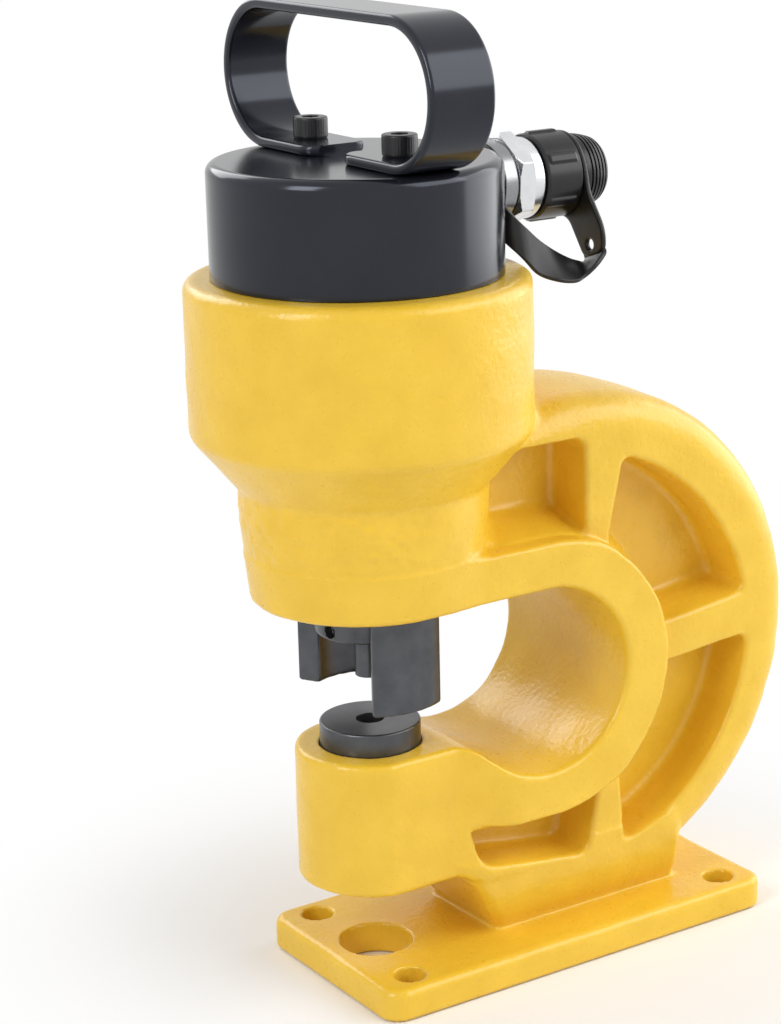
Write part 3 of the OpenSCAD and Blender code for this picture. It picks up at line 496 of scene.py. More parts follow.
def pocket_field(u, y, z):
    """Union of the four pockets: soft max of each one's walls, then of walls and web, by side."""
    corner, ring_corner, under_corner, web_fillet = 6.0, 4.0, 1.5, 4.0
    wall_lean, ring_lean, shelf_lean, ring_setback = 0.03, 0.3, 0.15, 0.3
    rib_half, rib_x, rib_top_slope, rib_low_slope = 9.0, 140.0, 0.11, 0.085
    front_start, front_top, under_x, under_slope, nowhere = 20.0, 55.7, 34.7, 0.153, 20.0
    depth = np.abs(y)
    inward = np.clip(rim_half - depth, 0, 40)
    ring = np.where(u < ring_x, np.abs(z - throat_z), np.hypot(u - ring_x, z - throat_z))
    ring = ring_r - ring_setback + ring_lean * inward - ring
    upper_rim = np.hypot(u - rim_x + 12.7, z - rim_z + 11.1) - 95.4
    lower_rim = np.hypot(u - rim_x + 3.0, z - rim_z + 2.7) - 84.5
    upright_left = line(u, z, (80.5, under_z + 22.2), (80.3, under_z + 52.7))
    upright_right = -line(u, z, (92.2, under_z + 13.1), (98.4, under_z + 40.9))
    low_left = line(u, z, (81.5, jaw_bottom - 2.1), (85.7, jaw_bottom + 18.3))
    low_right = -line(u, z, (100.1, jaw_bottom + 4.2), (98.5, jaw_bottom + 24.8))
    jaw_wall = -line(u, z, (29.0, 51.5), (26.0, 64.2))
    rib_top = rim_z + rib_half + rib_top_slope * (u - rib_x) + shelf_lean * inward - z
    rib_low = z - rim_z + rib_half - rib_low_slope * (u - rib_x)
    upper = soft_max(soft_max(upper_rim, ring, ring_corner), upright_right, corner)
    upper = soft_max(upper, rib_top, corner)
    lower = soft_max(soft_max(lower_rim, ring, ring_corner), rib_low, corner)
    lower = soft_max(lower, low_right, corner)
    front = soft_max(upright_left, z - under_z - front_top, corner)
    front = np.maximum(soft_max(front, ring, ring_corner), front_start - u)
    front = np.where(z > throat_z, front, nowhere)
    under = soft_max(low_left, jaw_bottom + overlap - (u - under_x) * under_slope - z, corner)
    under = soft_max(soft_max(under, jaw_wall, corner), ring, under_corner)
    under = np.where(z < throat_z, under, nowhere)
    view = lowest(upper, lower, front, under)
    return soft_max(view + wall_lean * inward, web_half - depth, web_fillet)


# %% foot and base
def foot_field(u, y, z):
    """The foot: front, back and sides that lean, joined softly, no wider at its front than the jaw."""
    front_run, back_run, corner_slope, edge, corner_edge = 18.0, 9.0, 0.73, 4.0, 3.0
    front_scale, back_scale, side_scale, corner_scale = 0.87, 0.96, 0.85, 0.8
    rise = np.clip((z - base_thick) / (jaw_bottom - base_thick), -0.2, 1.4)
    front = (foot_front - front_run * rise - u) * front_scale
    back = (u - foot_back + back_run * rise) * back_scale
    half = foot_top_half - (foot_top_half - foot_half) * np.clip(1 - rise, 0, 1.2) ** 2
    side = (np.abs(y) - half) * side_scale
    corner = (np.abs(y) - jaw_half - corner_slope * (u - flare_start)) * corner_scale
    body = soft_max(soft_max(soft_max(front, back, edge), side, edge), corner, corner_edge)
    return highest(body, z - jaw_bottom - overlap, overlap - z)


def base_field(u, y, z):
    """A plate with round corners and round edges: distance in plan, met by the two faces."""
    top_edge, under_edge = 4.0, 1.5
    qx = np.abs(u - base_centre_x) - base_half_length + base_corner
    qy = np.abs(y) - base_half_width + base_corner
    plan = np.hypot(np.maximum(qx, 0), np.maximum(qy, 0)) + np.minimum(np.maximum(qx, qy), 0) - base_corner
    return soft_max(soft_max(plan, z - base_thick, top_edge), -z, under_edge)


# %% bores
def tube(u, y, radius, z, bottom, top):
    """A round hole along Z between two heights."""
    return highest(np.hypot(u, y) - radius, bottom - z, z - top)


def bores_field(u, y, z):
    """All the holes along the punch axis, the set screw's hole and the four base holes."""
    seat, past, open_top = die_box[0, 2], 9, 400
    screw_r, screw_rise, screw_end = 4.0, 7, 40
    base_hole_r, base_hole_x, base_hole_y = 6.3, 78.5, 34.5
    turned_holes = {
        "barrel spigot": (50.05, spigot_bottom - 0.5, open_top),
        "return spring": (33.0, under_z + 32, open_top),
        "guide bush": (24.0, under_z + 17, under_z + 33),
        "rod wiper": (24.5, under_z + 12, under_z + 18),
        "stripper ring": (34.05, under_z - past, under_z + stripper_ring_height),
        "die": (20.05, seat, jaw_top + past),
        "slugs in the jaw": (11.5, jaw_bottom - past, jaw_top),
        "slugs in the base": (14.5, -past, base_thick + past),
    }
    holes = [tube(u, y, radius, z, low, high) for radius, low, high in turned_holes.values()]
    holes.append(highest(np.hypot(u, z - seat - screw_rise) - screw_r, -y, y - screw_end))
    holes.append(tube(np.abs(u - base_centre_x) - base_hole_x, np.abs(y) - base_hole_y, base_hole_r, z,
                      -past, base_thick + past))
    return lowest(*holes)


# %% the whole casting
def casting_field(u, y, z):
    """Ring, rim and foot less pockets, with the head, less the throat, with the base, less the bores."""
    rim_join, foot_join, head_join, base_join = 1.5, 4.0, 4.5, 3.0
    pocket_edge, throat_edge, bore_edge = 2.4, 2.8, 1.0
    arm = soft_min(ring_field(u, y, z), rim_field(u, y, z), rim_join)
    arm = soft_min(arm, foot_field(u, y, z), foot_join)
    arm = soft_max(arm, -pocket_field(u, y, z), pocket_edge)
    body = soft_min(arm, head_field(u, y, z), head_join)
    body = soft_max(body, -throat_field(u, z), throat_edge)
    body = soft_min(body, base_field(u, y, z), base_join)
    return soft_max(body, -bores_field(u, y, z), bore_edge)


print("field in the jaw, in millimetres:", round(float(casting_field(25.0, 0.0, jaw_bottom + 25)), 2))


# %% [markdown]
# ### Meshing the field
# Surface nets walk a grid of cells. Each cell that the surface passes through gets one point, the mean
# of the crossings on its edges, and each crossed grid edge gets a face between its four cells. Newton
# steps then move every point onto the field's zero, which takes the grid's stair steps away. A relief is
# only added to the field there, so it need not be worked out at every point of the grid.

# %% level and slope of a field
def field_level(field, points, relief=None):
    """The field at each point, plus the relief if there is one."""
    return field(*points.T) + (relief(points) if relief else 0)


def field_slope(field, points, small, relief=None):
    """Slope of the field at each point: the difference over a short step both ways along each axis."""
    return np.stack([(field_level(field, points + small * e, relief)
                      - field_level(field, points - small * e, relief)) / (2 * small)
                     for e in np.eye(3)], axis=1)


# %% surface nets
def surface_net(field, low, high, step, relief=None):
    """Mesh of field = 0 in a box: one point per crossed cell, one face per crossed grid edge."""
    low, high = np.array(low, float), np.array(high, float)
    counts = np.ceil((high - low) / step).astype(int) + 1
    places = [low[k] + step * np.arange(counts[k]) for k in range(3)]
    values = field(*np.meshgrid(*places, indexing="ij")).astype(np.float32)
    inside = values < 0
    cells = [c - 1 for c in counts]
    corners = [np.array(c) for c in np.ndindex(2, 2, 2)]
    filled = sum(inside[c[0]:c[0] + cells[0], c[1]:c[1] + cells[1], c[2]:c[2] + cells[2]].astype(np.int8)
                 for c in corners)
    crossed = np.argwhere((filled > 0) & (filled < len(corners)))
    number = np.full(cells, -1, np.int64)
    number[tuple(crossed.T)] = np.arange(len(crossed))
    total, hits = np.zeros((len(crossed), 3)), np.zeros(len(crossed))
    for a in corners:
        for axis in range(3):
            if a[axis]:
                continue
            b = a + np.eye(3, dtype=int)[axis]
            fa, fb = values[tuple((crossed + a).T)], values[tuple((crossed + b).T)]
            cut = (fa < 0) != (fb < 0)
            share = np.where(cut, fa / np.where(cut, fa - fb, 1), 0)
            total += cut[:, None] * (a + share[:, None] * (b - a))
            hits += cut
    points = low + step * (crossed + total / hits[:, None])
    faces = []
    for axis in range(3):
        one, two = (axis + 1) % 3, (axis + 2) % 3
        ahead = np.take(inside, range(1, counts[axis]), axis)
        here = np.take(inside, range(counts[axis] - 1), axis)
        edges = np.argwhere(here != ahead)
        edges = edges[(edges[:, one] > 0) & (edges[:, two] > 0)]
        edges = edges[(edges[:, one] < cells[one]) & (edges[:, two] < cells[two])]
        e1, e2 = np.eye(3, dtype=int)[one], np.eye(3, dtype=int)[two]
        quad = np.stack([number[tuple((edges - s).T)] for s in (e1 + e2, e2, 0 * e1, e1)], axis=1)
        solid = here[tuple(edges.T)]
        faces.append(np.where(solid[:, None], quad, quad[:, ::-1]))
    return onto_zero(field, points, step, relief), [np.concatenate(faces)]


def onto_zero(field, points, step, relief):
    """Points moved onto the field's zero: four Newton steps of level times slope over slope squared."""
    newton_steps, probe, flattest, longest = 4, 0.15, 0.05, 0.5
    for _ in range(newton_steps):
        slope = field_slope(field, points, step * probe, relief)
        reach = field_level(field, points, relief) / np.maximum((slope ** 2).sum(axis=1), flattest)
        move = slope * reach[:, None]
        size = np.linalg.norm(move, axis=1, keepdims=True)
        points = points - move * np.minimum(1, step * longest / np.maximum(size, 1e-9))
    return points


# %% [markdown]
# ### The cast skin
# Sand leaves ripples in the iron, and paint rounds them off. Smooth noise gives them: a fixed
# pseudo-random number at every lattice point, blended between the points. The ends of the casting are
# machined, so the ripples fade out there. The front of the neck is rougher than the rest.

# %% ripples
def lattice(i, j, k):
    """A fixed pseudo-random number from -1 to 1 at each lattice point, by mixing its three counts."""
    n = (i * 374761393 + j * 668265263 + k * 2147483647) & 0x7FFFFFFF
    n = ((n ^ (n >> 13)) * 1274126177) & 0x7FFFFFFF
    return ((n ^ (n >> 16)) & 0xFFFF) / 32767.5 - 1.0


def ripple(p, size):
    """Smooth noise: lattice numbers blended with an S along each axis, one lattice step every size."""
    q = p / size
    low = np.floor(q).astype(np.int64)
    t = ease(q - low)
    total = np.zeros(len(p))
    for corner in np.ndindex(2, 2, 2):
        c = np.array(corner)
        weight = np.prod(np.where(c, t, 1 - t), axis=1)
        total += weight * lattice(*(low + c).T)
    return total


def cast_relief(p):
    """Height of the skin's ripples: two sizes of noise off the machined ends, and a third on the neck."""
    coarse, medium, fine = 13.0, 6.5, 3.2
    coarse_height, medium_height, fine_height = 0.20, 0.10, 0.34
    medium_shift, fine_shift = 50, 90
    low_margin, top_margin, fade, crease_fade = 1.0, 0.5, 4, 2
    front_end, front_fade = 8, 16
    x, _, z = p.T
    machined = ease((z - low_margin) / fade) * ease((head_top - top_margin - z) / fade)
    neck = ease((z - under_z - lip_height) / fade) * ease((flare_z + low_margin - z) / crease_fade)
    neck = neck * ease((front_end - x) / front_fade)
    skin = coarse_height * ripple(p, coarse) + medium_height * ripple(p + medium_shift, medium)
    return machined * skin + fine_height * neck * ripple(p + fine_shift, fine)


# %% cast the body
casting_low, casting_high, casting_step = (-68, -68, -2.5), (192, 68, head_top + 2.5), 1.3
casting = surface_net(casting_field, casting_low, casting_high, casting_step, relief=cast_relief)
casting_piece = piece("casting", casting, ["c_frame", "base_plate", "frame_head"],
                      yellow_enamel)

# %% [markdown]
# The grid spends as many faces on a flat as on an edge. Blender's Decimate takes most of them off the
# flats. Each point then takes its normal from the field's slope, so that the long faces still shade as
# the true surface does.

# %% thin the casting's mesh
casting_triangles, normal_probe = 190000, 0.25
thin = casting_piece.modifiers.new("thin", "DECIMATE")
thin.ratio = casting_triangles / sum(len(face.vertices) - 2 for face in casting_piece.data.polygons)
solved = casting_piece.evaluated_get(bpy.context.evaluated_depsgraph_get())
dense_mesh, casting_piece.data = casting_piece.data, bpy.data.meshes.new_from_object(solved)
casting_piece.modifiers.clear()
bpy.data.meshes.remove(dense_mesh)
spots = np.empty(3 * len(casting_piece.data.vertices), np.float32)
casting_piece.data.vertices.foreach_get("co", spots)
spots = spots.reshape(-1, 3) / MM - [axis_x, 0, 0]
slopes = field_slope(casting_field, spots, normal_probe, cast_relief)
slopes /= np.linalg.norm(slopes, axis=1, keepdims=True)
casting_piece.data.normals_split_custom_set_from_vertices(slopes)
print("casting thinned to", len(casting_piece.data.polygons), "faces")

# %% [markdown]
# ## The cylinder
# The barrel is turned from one bar, so a profile spun about the axis is the natural way to make it. Its
# port has a flat milled into the round side. Points of the side that lie within the cutter's circle are
# moved in to that flat.

# %% barrel
spigot_r, bore_r, bore_top, seam = 49.95, 37.5, barrel_top - 30.0, head_top + 0.3
spot_x, spot_r = barrel_r - 2.0, 17.0
barrel_profile = np.vstack([
    rounded([(0, bore_top, 0), (bore_r, bore_top, 0.5), (bore_r, spigot_bottom, 0.5),
             (spigot_r, spigot_bottom, 0.8), (spigot_r, seam, 0.3), (barrel_r, seam, 0.6)]),
    straight(barrel_r, head_top + 1.5, barrel_top - 5.6, 60),
    rounded([(barrel_r, barrel_top - 9, 0), (barrel_r, barrel_top, 4), (0.5, barrel_top, 0)], steps=10)[2:],
])
barrel_points, barrel_faces = turned(barrel_profile, steps=360)
x, y, z = barrel_points.T
near_port = (x > 0) & (np.hypot(y, z - port_z) < spot_r)
barrel_points[:, 0] = np.where(near_port, np.minimum(x, spot_x), x)
piece("barrel", (barrel_points, barrel_faces), ["cylinder_barrel"], blued_steel, crease=50)

# %% [markdown]
# ## The carrying handle
# A flat steel strap is bent to a loop and screwed down by two feet. The strap is a rounded rectangle
# carried along the loop's path. Near each end its width draws in along a quarter circle, because the
# corners of the feet are rounded.

# %% the loop's path
handle_box = cad_box("handle_strap")
strap_half_width = (handle_box[1, 0] - handle_box[0, 0]) / 2
loop_half, loop_height = handle_box[1, 1], handle_box[1, 2] - handle_box[0, 2]
strap_steel, strap_edge, feet_half_gap, corner_round = 4.0, 1.5, 10.0, 7.0
bend_r = loop_height / 2 - strap_steel / 2
bend_y = loop_half - loop_height / 2
foot_z, top_z = handle_box[0, 2] + strap_steel / 2, handle_box[1, 2] - strap_steel / 2


def handle_path():
    """Middle line of the strap in Y and Z: foot, half circle, top, half circle, foot, with its normals."""
    corner_steps, foot_steps, bend_steps, top_steps = 9, 14, 49, 20
    corner = feet_half_gap + corner_round * (1 - np.cos(np.linspace(0, math.pi / 2, corner_steps)))
    foot = np.concatenate([corner, np.linspace(feet_half_gap + corner_round, bend_y, foot_steps)[1:]])
    swing = np.linspace(-math.pi / 2, math.pi / 2, bend_steps)[1:]
    top = np.linspace(bend_y, 0, top_steps)[1:]
    ys = np.concatenate([foot, bend_y + bend_r * np.cos(swing), top])
    zs = np.concatenate([np.full(len(foot), foot_z), (foot_z + top_z) / 2 + bend_r * np.sin(swing),
                         np.full(len(top), top_z)])
    ny = np.concatenate([np.zeros(len(foot)), np.cos(swing), np.zeros(len(top))])
    nz = np.concatenate([-np.ones(len(foot)), np.sin(swing), np.ones(len(top))])
    half = np.stack([ys, zs, ny, nz], axis=1)
    return np.vstack([half, (half * [-1, 1, -1, 1])[-2::-1]])


path = handle_path()
print("the handle's path has", len(path), "points")

# %% handle strap
square = ((-1, -1), (1, -1), (1, 1), (-1, 1))
section = rounded([(x * strap_half_width, y * strap_steel / 2, strap_edge) for x, y in square], closed=True)
from_end = np.maximum(np.abs(path[:, 0]) - feet_half_gap, 0)
on_corner = (path[:, 1] < foot_z + 0.01) & (from_end < corner_round)
quarter = np.sqrt(np.maximum(corner_round ** 2 - (corner_round - from_end) ** 2, 0))
draw_in = np.where(on_corner, corner_round - quarter, 0)
widths = (strap_half_width - draw_in) / strap_half_width
strap_rings = np.stack([
    section[None, :, 0] * widths[:, None],
    path[:, None, 0] + path[:, None, 2] * section[None, :, 1],
    path[:, None, 1] + path[:, None, 3] * section[None, :, 1],
], axis=2)
piece("handle", capped(strap_rings), ["handle_strap"], blued_steel, crease=50)

# %% [markdown]
# ## Handle screws
# Two socket-head screws hold the feet. The head is a turned profile whose side is knurled, so its radius
# waves a little with the angle, and whose middle drops into a hexagon. One surface does all of that: the
# profile gives the radius, and a shape function bends it with the angle.

# %% handle screws
screw_box = cad_box("handle_bolts")
screw_head_r, screw_head_h, socket_flats, socket_depth = 6.5, 8.0, 6.0, 4.0
knurl_count, knurl_height, knurl_low, knurl_top = 36, 0.05, 1.5, screw_head_h - 1.2
thread_r, cone_depth = 3.95, 0.6
screw_seat = barrel_top + strap_steel
screw_y = screw_box[1, 1] - screw_head_r


def screw_shape(r, angles, h):
    """Knurl on the side of the head, and a hexagon for the socket's wall and floor."""
    knurled = (r > screw_head_r - knurl_height) & (h > knurl_low) & (h < knurl_top)
    r = np.where(knurled, r + knurl_height * np.cos(knurl_count * angles), r)
    socket = (h > screw_head_h - socket_depth - 0.1) & (r < socket_flats / 2 + 0.4)
    return np.where(socket, r * hexagon(angles, socket_flats) / (socket_flats / 2), r)


def handle_screw(y):
    """One screw: thread below, head with a round shoulder, hexagon socket."""
    thread_end = screw_box[0, 2] - screw_seat
    socket_r, floor_h = socket_flats / 2, screw_head_h - socket_depth
    profile = np.vstack([
        rounded([(0, thread_end, 0), (thread_r, thread_end, 0.6), (thread_r, 0.0, 0.3),
                 (screw_head_r - 0.4, 0.0, 0)]),
        straight(screw_head_r, 0.8, screw_head_h - 1.3, 14),
        rounded([(screw_head_r, screw_head_h - 1.2, 0), (screw_head_r, screw_head_h, 1.0),
                 (socket_r, screw_head_h, 0.25), (socket_r, floor_h, 0.2), (0, floor_h - cone_depth, 0)])[1:],
    ])
    points, faces = turned(profile, steps=144, shape=screw_shape)
    return points + [0, y, screw_seat], faces


piece("handle_screws", joined(handle_screw(-screw_y), handle_screw(screw_y)), ["handle_bolts"],
      screw_black, crease=45)

# %% [markdown]
# ## The oil coupler
# A steel nipple screws into the port, and the zinc-plated coupler half screws onto it with a hexagon. Both
# are turned parts that lie along X. The hexagon is the lower of two radii at every angle: the hexagon's
# own and the chamfer that the lathe cut across its corners.

# %% nipple
nipple_box, hex_box = cad_box("port_nipple"), cad_box("coupler_body")
nipple_start, nipple_end = nipple_box[:, 0] - axis_x
collar_end, nose_end = hex_box[:, 0] - axis_x
seal_face = spot_x + 1.5
collar_start, collar_r, oil_r = seal_face + 2.6, 15.5, 3.5
port_thread_r, waist_r, tail_thread_r = 9.45, 10.0, 8.45
nipple_profile = rounded([
    (oil_r, nipple_start, 0.3), (port_thread_r, nipple_start, 0.8), (port_thread_r, seal_face, 0.2),
    (waist_r, seal_face, 0.2), (waist_r, collar_start, 0.3), (collar_r, collar_start, 0.7),
    (collar_r, collar_end, 0.7), (tail_thread_r, collar_end, 0.2), (tail_thread_r, nipple_end, 0.4),
    (oil_r, nipple_end, 0.3),
], closed=True)
piece("nipple", along_x(turned(nipple_profile, steps=160, closed=True), port_z), ["port_nipple"],
      turned_steel, crease=45)

# %% hexagon of the coupler
hex_end, turned_end, guide_start = collar_end + 7.2, collar_end + 12.6, collar_end + 5.6
hex_flats, hex_turn, hex_least_r, turned_r, nose_r = 32.0, math.radians(3), 14, 15.6, 13.2
tail_bore_r, mouth_r, valve_seat_r, chamber_r = 8.55, 7.0, 5.0, 7.5
hex_half = hex_flats / 2
hex_corner = hex_half / math.cos(math.pi / 6)


def hex_shape(r, angles, x):
    """The lower of the lathe's radius and the hexagon's, only on the hexagon's own stretch."""
    on_hex = (x >= collar_end - 0.01) & (x <= hex_end + 0.01) & (r > hex_least_r)
    return np.where(on_hex, np.minimum(r, hexagon(angles, hex_flats, turn=-hex_turn)), r)


def chamfer(start, end, start_r, end_r):
    """Six points of the lathe's chamfer, from one length and radius to another."""
    return np.stack([np.linspace(start_r, end_r, 6), np.linspace(start, end, 6)], axis=1)


hex_profile = np.vstack([
    rounded([(tail_bore_r, guide_start, 0), (tail_bore_r, collar_end, 0.3), (hex_half + 0.2, collar_end, 0)]),
    chamfer(collar_end, collar_end + 1, hex_half + 0.4, hex_corner - 0.2),
    straight(hex_corner - 0.1, collar_end + 1.1, hex_end - 1.1, 12),
    chamfer(hex_end - 1, hex_end, hex_corner - 0.2, hex_half + 0.4),
    rounded([(hex_half - 0.1, hex_end, 0), (turned_r, hex_end + 0.2, 0.2), (turned_r, turned_end, 1.2),
             (nose_r, turned_end, 0.4), (nose_r, nose_end, 1.0), (mouth_r, nose_end, 0.5),
             (mouth_r, nose_end - 3.0, 0.2), (valve_seat_r, nose_end - 3.4, 0.2),
             (valve_seat_r, nose_end - 3.9, 0.1), (chamber_r, nose_end - 6.2, 0.2),
             (chamber_r, guide_start, 0)]),
])
piece("coupler_hexagon", along_x(turned(hex_profile, steps=192, shape=hex_shape, closed=True), port_z),
      ["coupler_body"], zinc_plate, crease=28)

# %% [markdown]
# ## Dust cap
# The cap is a moulding: a skirt with long grip ribs, a groove for the strap's eye, and an end that tapers
# in fine rings. The rings are in the profile, and the ribs are a raised window in angle and length.

# %% dust cap
cap_box = cad_box("dust_cap")
cap_start, cap_end = cap_box[:, 0] - axis_x
cap_r, cap_bore_r, rib_rise, rib_count, rib_half_width = 16.6, 13.25, 0.8, 6, 1.7
groove_start = cap_start + 16.3
groove_end, groove_r = groove_start + 3.2, 12.7
end_r, tip_r, ridge_count, ridge_depth = 14.8, 12.4, 5, 0.9
cap_floor, end_length = nose_end + 0.02, cap_end - groove_end


def cap_shape(r, angles, x):
    """Skirt radius plus the ribs: a soft window in angle times a soft window in length."""
    rib_side, rib_inset, rib_end = 0.9, 0.5, 1.2
    sixth = 2 * math.pi / rib_count
    off = np.abs((angles + sixth / 2) % sixth - sixth / 2) * cap_r
    across = 1 - ease((off - rib_half_width + rib_inset) / rib_side)
    lengthways = ease((x - cap_start - rib_end) / rib_end) * ease((groove_start - rib_end - x) / rib_end)
    return np.where(r > cap_r - 0.3, r + rib_rise * across * lengthways, r)


def ridged_end():
    """The tapered end: radius less (x / length) squared of the taper, less a soft groove at every pitch."""
    pitch = end_length / (ridge_count + 1)
    x = np.linspace(0, 1, 121)[1:-1] * (end_length - 1.5)
    taper = end_r - (end_r - tip_r) * (x / end_length) ** 2
    grooves = ridge_depth * ease((np.cos(x / pitch * 2 * math.pi) - 0.1) / 0.6)
    places = groove_end + 1.0 + x * (end_length - 2.6) / (end_length - 1.5)
    return np.stack([taper - grooves * (x > pitch * 0.4), places], axis=1)


cap_profile = np.vstack([
    rounded([(0, cap_floor, 0), (cap_bore_r, cap_floor, 0.3), (cap_bore_r, cap_start, 0.3),
             (cap_r - 0.5, cap_start, 0)]),
    straight(cap_r, cap_start + 1.0, groove_start - 1.0, 40),
    rounded([(cap_r, groove_start - 0.8, 0), (cap_r, groove_start, 0.7), (groove_r, groove_start, 0.2),
             (groove_r, groove_end, 0.2), (end_r, groove_end, 0.5), (end_r, groove_end + 1, 0)])[1:-1],
    ridged_end(),
    rounded([(tip_r, cap_end - 1.5, 0), (tip_r - 0.4, cap_end, 1.4), (0.2, cap_end, 0)])[1:],
])
piece("dust_cap_shell", along_x(turned(cap_profile, steps=240, shape=cap_shape), port_z), ["dust_cap"],
      cap_plastic, crease=50)

# %% [markdown]
# ## The cap's strap
# A soft plastic strap keeps the cap on the tool. It has an eye round the cap, a tab, a band that
# twists back under the coupler, and a ring round the nipple. The flat eye is a plate meshed
# from a field, and the band is a rounded strip stretched between two edge curves.

# %% strap eye and ring
strap_thick = 2.0
eye_x, neck_ring_x = groove_start + 0.6, seal_face + 0.3
eye_outer_r, eye_inner_r, tab_hole_r = 16.4, 13.0, 2.0
strap_ring_inner_r, strap_ring_outer_r = 10.3, 15.1
tab_turn, tab_near, tab_far = math.radians(36), 11.7, 5.6
tab_tip, tab_near_length, tab_far_length = (38.3, 6.6), 31.6, 34.6
tab_hole = (31.9, 1.0)


def eye_field(u, y, z):
    """The eye: a ring and a tab in one plane, less the cap's hole and the tab's small hole."""
    tab_corner, tab_join, eye_edge, hole_edge, face_edge = 3.0, 5.0, 0.8, 0.6, 1.0
    down = -(z - port_z) * math.cos(tab_turn) - y * math.sin(tab_turn)
    over = -y * math.cos(tab_turn) + (z - port_z) * math.sin(tab_turn)
    round_part = np.hypot(y, z - port_z) - eye_outer_r
    far_end = -line(down, over, tab_tip, (tab_far_length, -tab_far))
    near_end = line(down, over, tab_tip, (tab_near_length, tab_near))
    sides = soft_max(over - tab_near, -over - tab_far, tab_corner)
    tab = np.maximum(soft_max(sides, soft_max(far_end, near_end, tab_corner), tab_corner), -down)
    plate = soft_min(round_part, tab, tab_join)
    plate = soft_max(plate, eye_inner_r - np.hypot(y, z - port_z), eye_edge)
    plate = soft_max(plate, tab_hole_r - np.hypot(over - tab_hole[1], down - tab_hole[0]), hole_edge)
    return soft_max(plate, np.abs(u - eye_x - strap_thick / 2) - strap_thick / 2, face_edge)


eye_low, eye_high, eye_step = (eye_x - 1.5, -34, port_z - 42), (eye_x + 3.5, 19, port_z + 19), 0.55
eye = surface_net(eye_field, eye_low, eye_high, eye_step)
neck_ring_end = neck_ring_x + strap_thick
neck_ring_profile = rounded([
    (strap_ring_inner_r, neck_ring_x, 0.5), (strap_ring_outer_r, neck_ring_x, 0.7),
    (strap_ring_outer_r, neck_ring_end, 0.7), (strap_ring_inner_r, neck_ring_end, 0.5),
], closed=True)
neck_ring = along_x(turned(neck_ring_profile, steps=96, closed=True), port_z)
print("strap eye:", len(eye[0]), "points")

# %% [markdown]
# The band's two edges are listed points: the share of the way from ring to eye, then Y, then the
# height from the coupler's axis. A smooth curve goes through each list, and the strip spans the two curves.

# %% edges of the band
band_inner = np.array([[0, -12.5, -2], [0, -15.2, -4.6], [0, -17, -6.6], [0.06, -18.2, -9.8],
                       [0.18, -18.2, -14.6], [0.35, -17.6, -20.3], [0.55, -17.6, -25.9], [0.74, -17.7, -30],
                       [0.88, -17.5, -32], [0.96, -16.8, -32.8], [1, -15.9, -31.6], [1, -15.3, -30]])
band_outer = np.array([[0, -5, -11.5], [0, -8, -15], [0, -12, -18.4], [0.05, -16.8, -22.6],
                       [0.16, -21, -28], [0.3, -22.6, -33.7], [0.46, -27.1, -36.1], [0.64, -28.4, -36.9],
                       [0.75, -28, -35.5], [0.88, -28.8, -31.5], [1, -28, -27.6], [1, -27.9, -25.8]])


def through(points, steps):
    """A smooth curve through the points: cubic pieces whose slope at a point is half the step across it."""
    ends = np.vstack([points[:1], points, points[-1:]])
    a, b, c, d = [ends[k:k + len(points) - 1, None, :] for k in range(4)]
    t = (np.arange(steps) / steps)[None, :, None]
    bend, twist = 2 * a - 5 * b + 4 * c - d, 3 * b - a - 3 * c + d
    curve = (2 * b + (c - a) * t + bend * t ** 2 + twist * t ** 3) / 2
    return np.vstack([curve.reshape(-1, 3), points[-1:]])


def band_edge(points):
    """A smooth edge in millimetres: its first number runs from the ring's middle to the eye's middle."""
    share, y, drop = through(points, 10).T
    x = neck_ring_x + strap_thick / 2 + share * (eye_x - neck_ring_x)
    return np.stack([x, y, drop + port_z], axis=1)


inner_edge, outer_edge = band_edge(band_inner), band_edge(band_outer)
print("each edge of the band has", len(inner_edge), "points")

# %% strap band
strip_half, strip_half_thick, strip_round = 7.0, 0.9, 0.6
middle, across = (inner_edge + outer_edge) / 2, (outer_edge - inner_edge) / 2
face = np.cross(np.gradient(middle, axis=0), across)
face /= np.linalg.norm(face, axis=1, keepdims=True)
half_width = np.linalg.norm(across, axis=1)[:, None, None]
strip = rounded([(x * strip_half, y * strip_half_thick, strip_round) for x, y in square],
                closed=True, steps=4)
side = np.sign(strip[:, 0])
stretch = side * (np.abs(strip[:, 0]) - strip_half)
sideways = across[:, None, :] / half_width * (side[None, :, None] * half_width + stretch[None, :, None])
band = capped(middle[:, None, :] + sideways + face[:, None, :] * strip[None, :, 1:2])
piece("cap_strap", joined(eye, neck_ring, band), ["dust_cap_strap"], cap_plastic, crease=50)

# %% [markdown]
# ## Stripper, nut, punch and die
# The stripper's two legs straddle the punch and stand still while it is drawn back. A leg is a sector of
# a ring, cut square below. The nut has four holes in its side, for a pin to turn it by. Such cuts across
# a round form are simple in a field, so both are meshed like the casting. The punch and the die are
# plain turned pieces.

# %% stripper
leg_inner, leg_outer, leg_half_angle, leg_bottom = 22.0, 31.5, math.radians(30), stripper_box[0, 2]
stripper_ring_r, bolt_circle_r, bolt_hole_r, bolt_head_r, bolt_head_depth = 33.9, 28.6, 2.6, 4.75, 5.5


